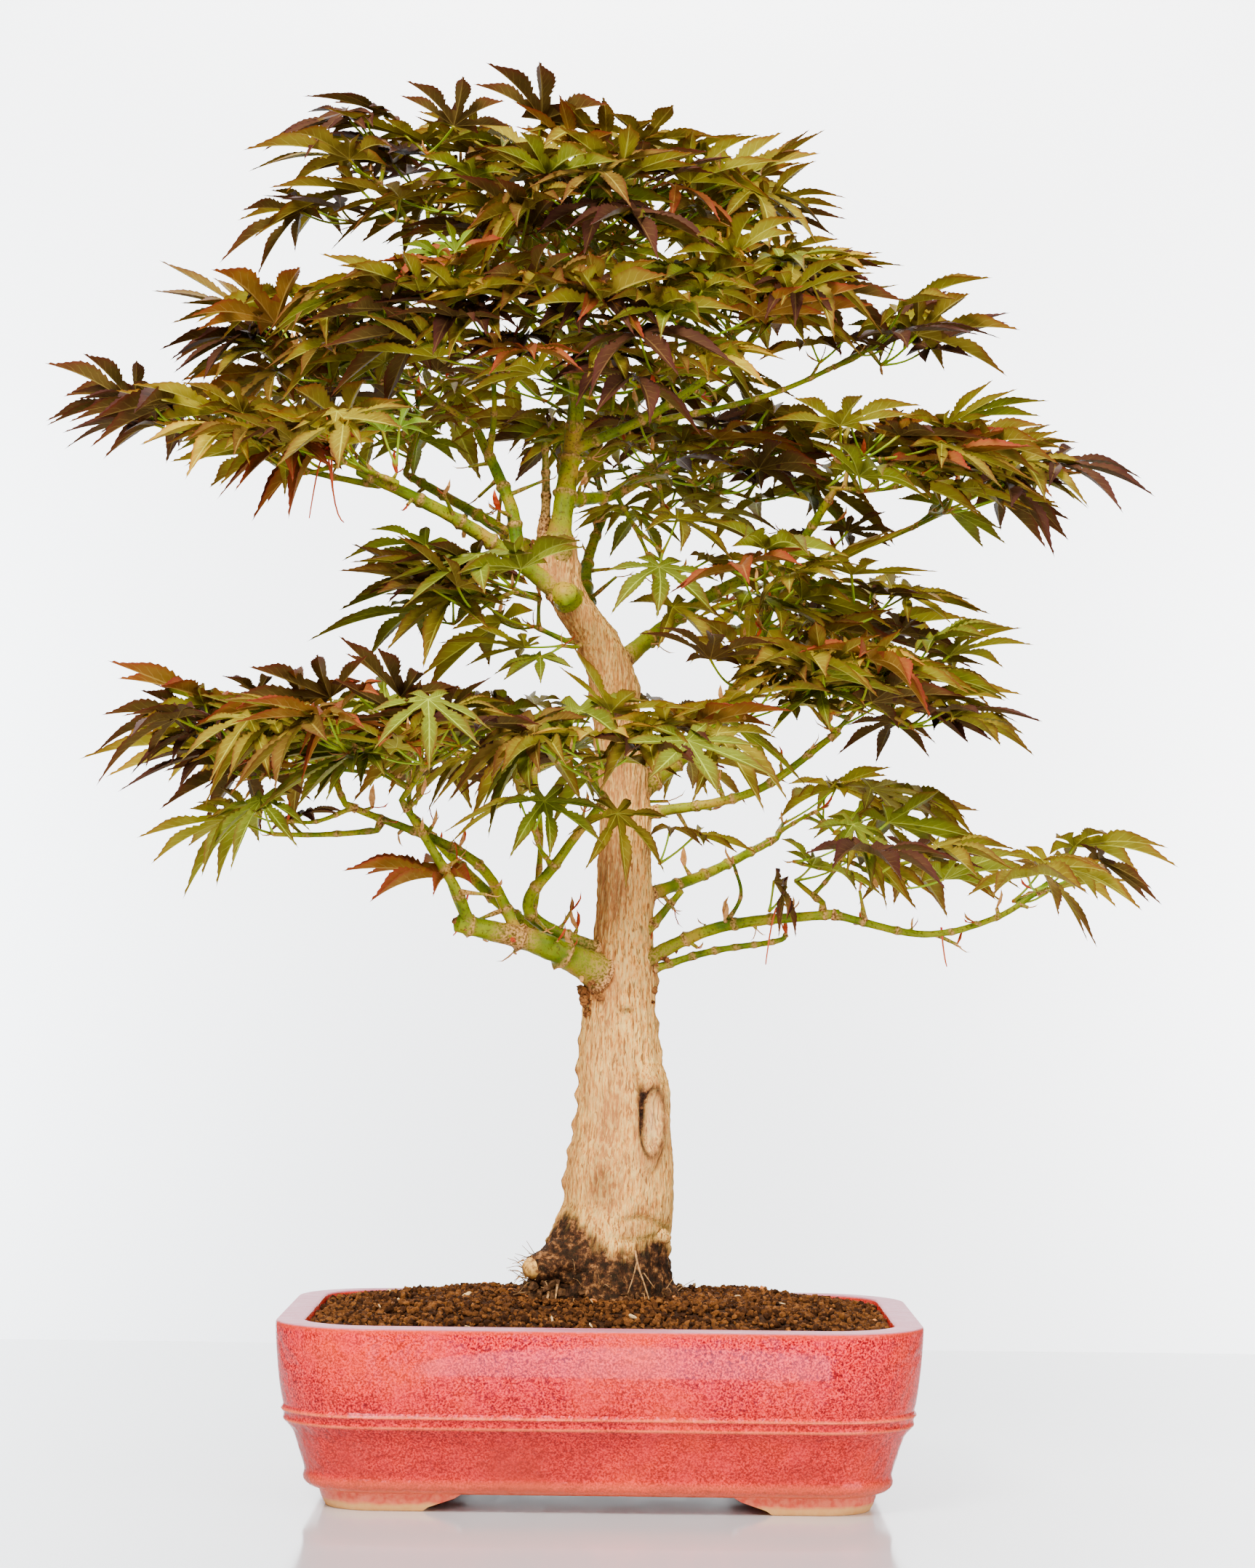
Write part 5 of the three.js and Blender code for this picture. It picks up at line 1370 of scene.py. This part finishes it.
def add_side_shoot(place, along, tints, node):
    """A short shoot from the side of a twig, with a pair of smaller leaves."""
    out = np.array([*drawn(shape_chance, -1, 1, 2), shape_chance.uniform(-0.1, 1)])
    way = unit(along * 0.5 + unit(out))
    tip = place + way * shape_chance.uniform(8, 22)
    add_limb(twigs_heap, np.linspace(place, tip, 6), (0.95, 0.75), shape_chance, 9.0, 2.0, 6)
    add_bud(tip, way)
    course = math.atan2(way[1], way[0])
    for side in (1, -1):
        turn = course + math.radians(side * shape_chance.uniform(40, 85))
        rise = math.radians(shape_chance.uniform(5, 50))
        reach = shape_chance.uniform(12, 24)
        add_leaf({
            "node": tip,
            "junction": tip + way_at(turn, rise) * reach,
            "yaw": turn - side * shape_chance.uniform(0.1, 0.5),
            "hang": math.radians(shape_chance.uniform(-25, 30)),
            "roll": math.radians(shape_chance.uniform(-20, 20)),
            "length": shape_chance.uniform(24, 42),
        }, tints, node)


for index, (node, on, at, middle, spread, shoots, hang) in enumerate(MASSES):
    numbers = drawn_numbers(7919 * (index + 1))
    twigs = grow_twigs(on, at, shoot_tips(middle, spread, shoots, numbers))
    tints = spray_tints(node, middle)
    share_there = LOOKS.get(node, PLAIN_LOOK)[3]
    for twig in twigs:
        twig["bowed_from"] = bowed(twig["on"], twig["share"]) if "on" in twig else twig["from"]
        span = np.linalg.norm(twig["tip"] - twig["bowed_from"])
        twig["bow"] = drawn(shape_chance, -1, 1) * span * 0.05
        path = [bowed(twig, share) for share in np.linspace(0, 1, max(5, int(span / 3)))]
        radii = (1.35, 0.95)
        if "start" in twig:
            path, radii = [twig["start"], *path], (2.0, 1.25)
        add_limb(twigs_heap, np.array(path), radii, shape_chance, 17.0, 2.5, 7)
        for leaf in leaves_of(twig, hang, numbers):
            if shape_chance.random() < share_there:
                add_leaf(leaf, tints, node)
        way = unit(twig["tip"] - bowed(twig, 0.9))
        if shape_chance.random() < BUDS:
            add_bud(twig["tip"], way)
        for share in SIDE_SHOOT_SHARES:
            if span > 25 and shape_chance.random() < SIDE_SHOOTS and share_there > AIRY:
                add_side_shoot(bowed(twig, share), way, tints, node)

for node, place, junction, yaw, tilt, roll, length, tint in LONE_LEAVES:
    leaf = {
        "node": np.array(place, dtype=float), "junction": np.array(junction, dtype=float),
        "yaw": math.radians(yaw), "hang": math.radians(tilt), "roll": math.radians(roll), "length": length,
    }
    any(add_leaf(leaf, {tint: 1.0}, node) for _ in range(6))
for places, radii in LONE_TWIGS:
    add_limb(twigs_heap, smooth_path(places, 2.0), radii, shape_chance, 13.0, 2.5, 8)
    add_bud(np.array(places[-1], dtype=float), np.array((0.0, 0.0, 1.0)))
for name, path in bough_paths.items():
    for share in np.arange(0.14, 0.98, SPUR_GAP / lengths_along(path)[-1]):
        if shape_chance.random() < BARE_SPURS:
            continue
        place, way = along_path(path, share + shape_chance.uniform(-0.02, 0.02))
        out = np.array([*drawn(shape_chance, -1, 1, 2), shape_chance.uniform(-0.5, 1)])
        out = unit(out - way * out.dot(way) * 0.7)
        tip = place + out * shape_chance.choice((5, 7, 9, 14, 22))
        add_limb(twigs_heap, np.linspace(place, tip, 6), (1.3, 0.8), shape_chance, 6.0, 2.0, 7)
        add_bud(tip, out)
for start, stop, sag in DRY_STALKS:
    add_stalk(dry_stalks, np.array(start, dtype=float), stop, sag, (0.7, 0.6, 0.55, 0.5, 0.5, 0.45, 0.35))

sprays = ["leaves_" + mass[0] for mass in MASSES]
for tint, heap in leaf_heaps.items():
    upper = leaf_material(f"leaf_{tint}_upper", *TINTS[tint][:3], 0.5)
    under = leaf_material(f"leaf_{tint}_under", *TINTS[tint][3:], 0.55)
    nodes = ["leaves_" + name for name in sorted(leaf_nodes[tint])]
    heap.piece(f"leaves_{tint}", "leaves", nodes, upper, under, smoothed=50)
stalk_skin = stalk_material("stalk_green", (0.32, 0.52, 0.012), (0.44, 0.13, 0.015))
petioles.piece("leaf_stalks", "leaves", sprays, stalk_skin)
dry_skin = stalk_material("stalk_dry", (0.66, 0.12, 0.03), (0.55, 0.03, 0.02))
dry_stalks.piece("dry_stalks", "leaves", [], dry_skin)
twigs_heap.piece("twigs_green", "green_bark", sprays, green_bark)
for kind, dark, light in (
    ("cream", (0.50, 0.19, 0.035), (0.88, 0.48, 0.14)), ("crimson", (0.40, 0.030, 0.010), (0.62, 0.10, 0.02)),
):
    husk = earth_material(f"bud_scale_{kind}", dark, light, 0.6)
    scales[kind].piece(f"bud_scales_{kind}", "leaves", [], husk, smoothed=None)


# Studio: a pale glossy table top that ends in front of a pale wall, which stands far enough off to
# let the tree be seen from behind. Big soft lights fall on the tree, and three more light the wall.
def plain_surface(name, corners, colour, roughness):
    mesh = bpy.data.meshes.new(name)
    mesh.from_pydata(corners, [], [(0, 1, 2, 3)])
    mesh.materials.append(Paint(name).surface(Base_Color=colour, Roughness=roughness))
    placed(name, mesh)


TABLE_START = HOME.y - 0.36
TABLE_END = HOME.y + 0.79
plain_surface("table_top", [
    (-0.62, TABLE_START, 0), (0.62, TABLE_START, 0), (0.62, TABLE_END, 0), (-0.62, TABLE_END, 0),
], (0.64, 0.65, 0.66), 0.10)
WALL_AT = HOME.y + 4.2
plain_surface("wall", [
    (-1.33, WALL_AT, -0.9), (1.33, WALL_AT, -0.9), (1.33, WALL_AT, 2.3), (-1.33, WALL_AT, 2.3),
], (0.95, 0.95, 0.95), 0.9)

world = bpy.data.worlds.new("studio")
bpy.context.scene.world = world
world.use_nodes = True
world.node_tree.nodes["Background"].inputs["Color"].default_value = (0.92, 0.95, 1.0, 1.0)
world.node_tree.nodes["Background"].inputs["Strength"].default_value = 0.36


def soft_light(name, place, aim, size, power, colour=(1.0, 1.0, 1.0), shape="RECTANGLE"):
    data = bpy.data.lights.new(name, "AREA")
    data.shape = shape
    data.size, data.size_y = size
    data.energy = power
    data.color = colour
    lamp = placed(name, data)
    lamp.location = place
    lamp.rotation_euler = (Vector(aim) - Vector(place)).to_track_quat("-Z", "Y").to_euler()


soft_light("key", (-0.9, -1.9, 2.1), (0, 0, 0.35), (1.0, 1.0), 168, (1.0, 0.97, 0.92))
soft_light("fill", (1.8, -1.6, 1.2), (0, 0, 0.4), (1.4, 1.4), 56)
soft_light("pot_glare", (0.06, -1.3, -0.27), (0, -0.12, 0.08), (0.52, 0.24), 10, (0.84, 0.70, 1.0), "ELLIPSE")
soft_light("top", (0.1, 0.0, 2.2), (0, 0, 0.2), (1.4, 1.0), 16)
soft_light("wall_above", (0.0, WALL_AT - 1.13, 3.37), (0, WALL_AT, 1.23), (2.53, 0.67), 364)
for name, side, colour in (("wall_left", -1, (0.88, 0.94, 1.0)), ("wall_right", 1, (0.95, 0.97, 1.0))):
    place, aim = (side * 1.55, WALL_AT - 0.93, 0.43), (side * 0.85, WALL_AT, 0.43)
    soft_light(name, place, aim, (0.53, 2.1), 103, colour)

eye = bpy.data.cameras.new("camera")
camera = placed("camera", eye)
camera.location = HOME + Vector((0.0116, -2.2, 0.3006))
pitch, lean = 0.044, 0.012
turned = Matrix.Rotation(math.pi / 2 + pitch, 4, "X") @ Matrix.Rotation(lean, 4, "Z")
camera.matrix_world = Matrix.Translation(camera.location) @ turned
eye.sensor_width = 36.0
eye.lens = 5328.0 / 2156.0 * 36.0
eye.clip_start = 0.05
bpy.context.scene.camera = camera
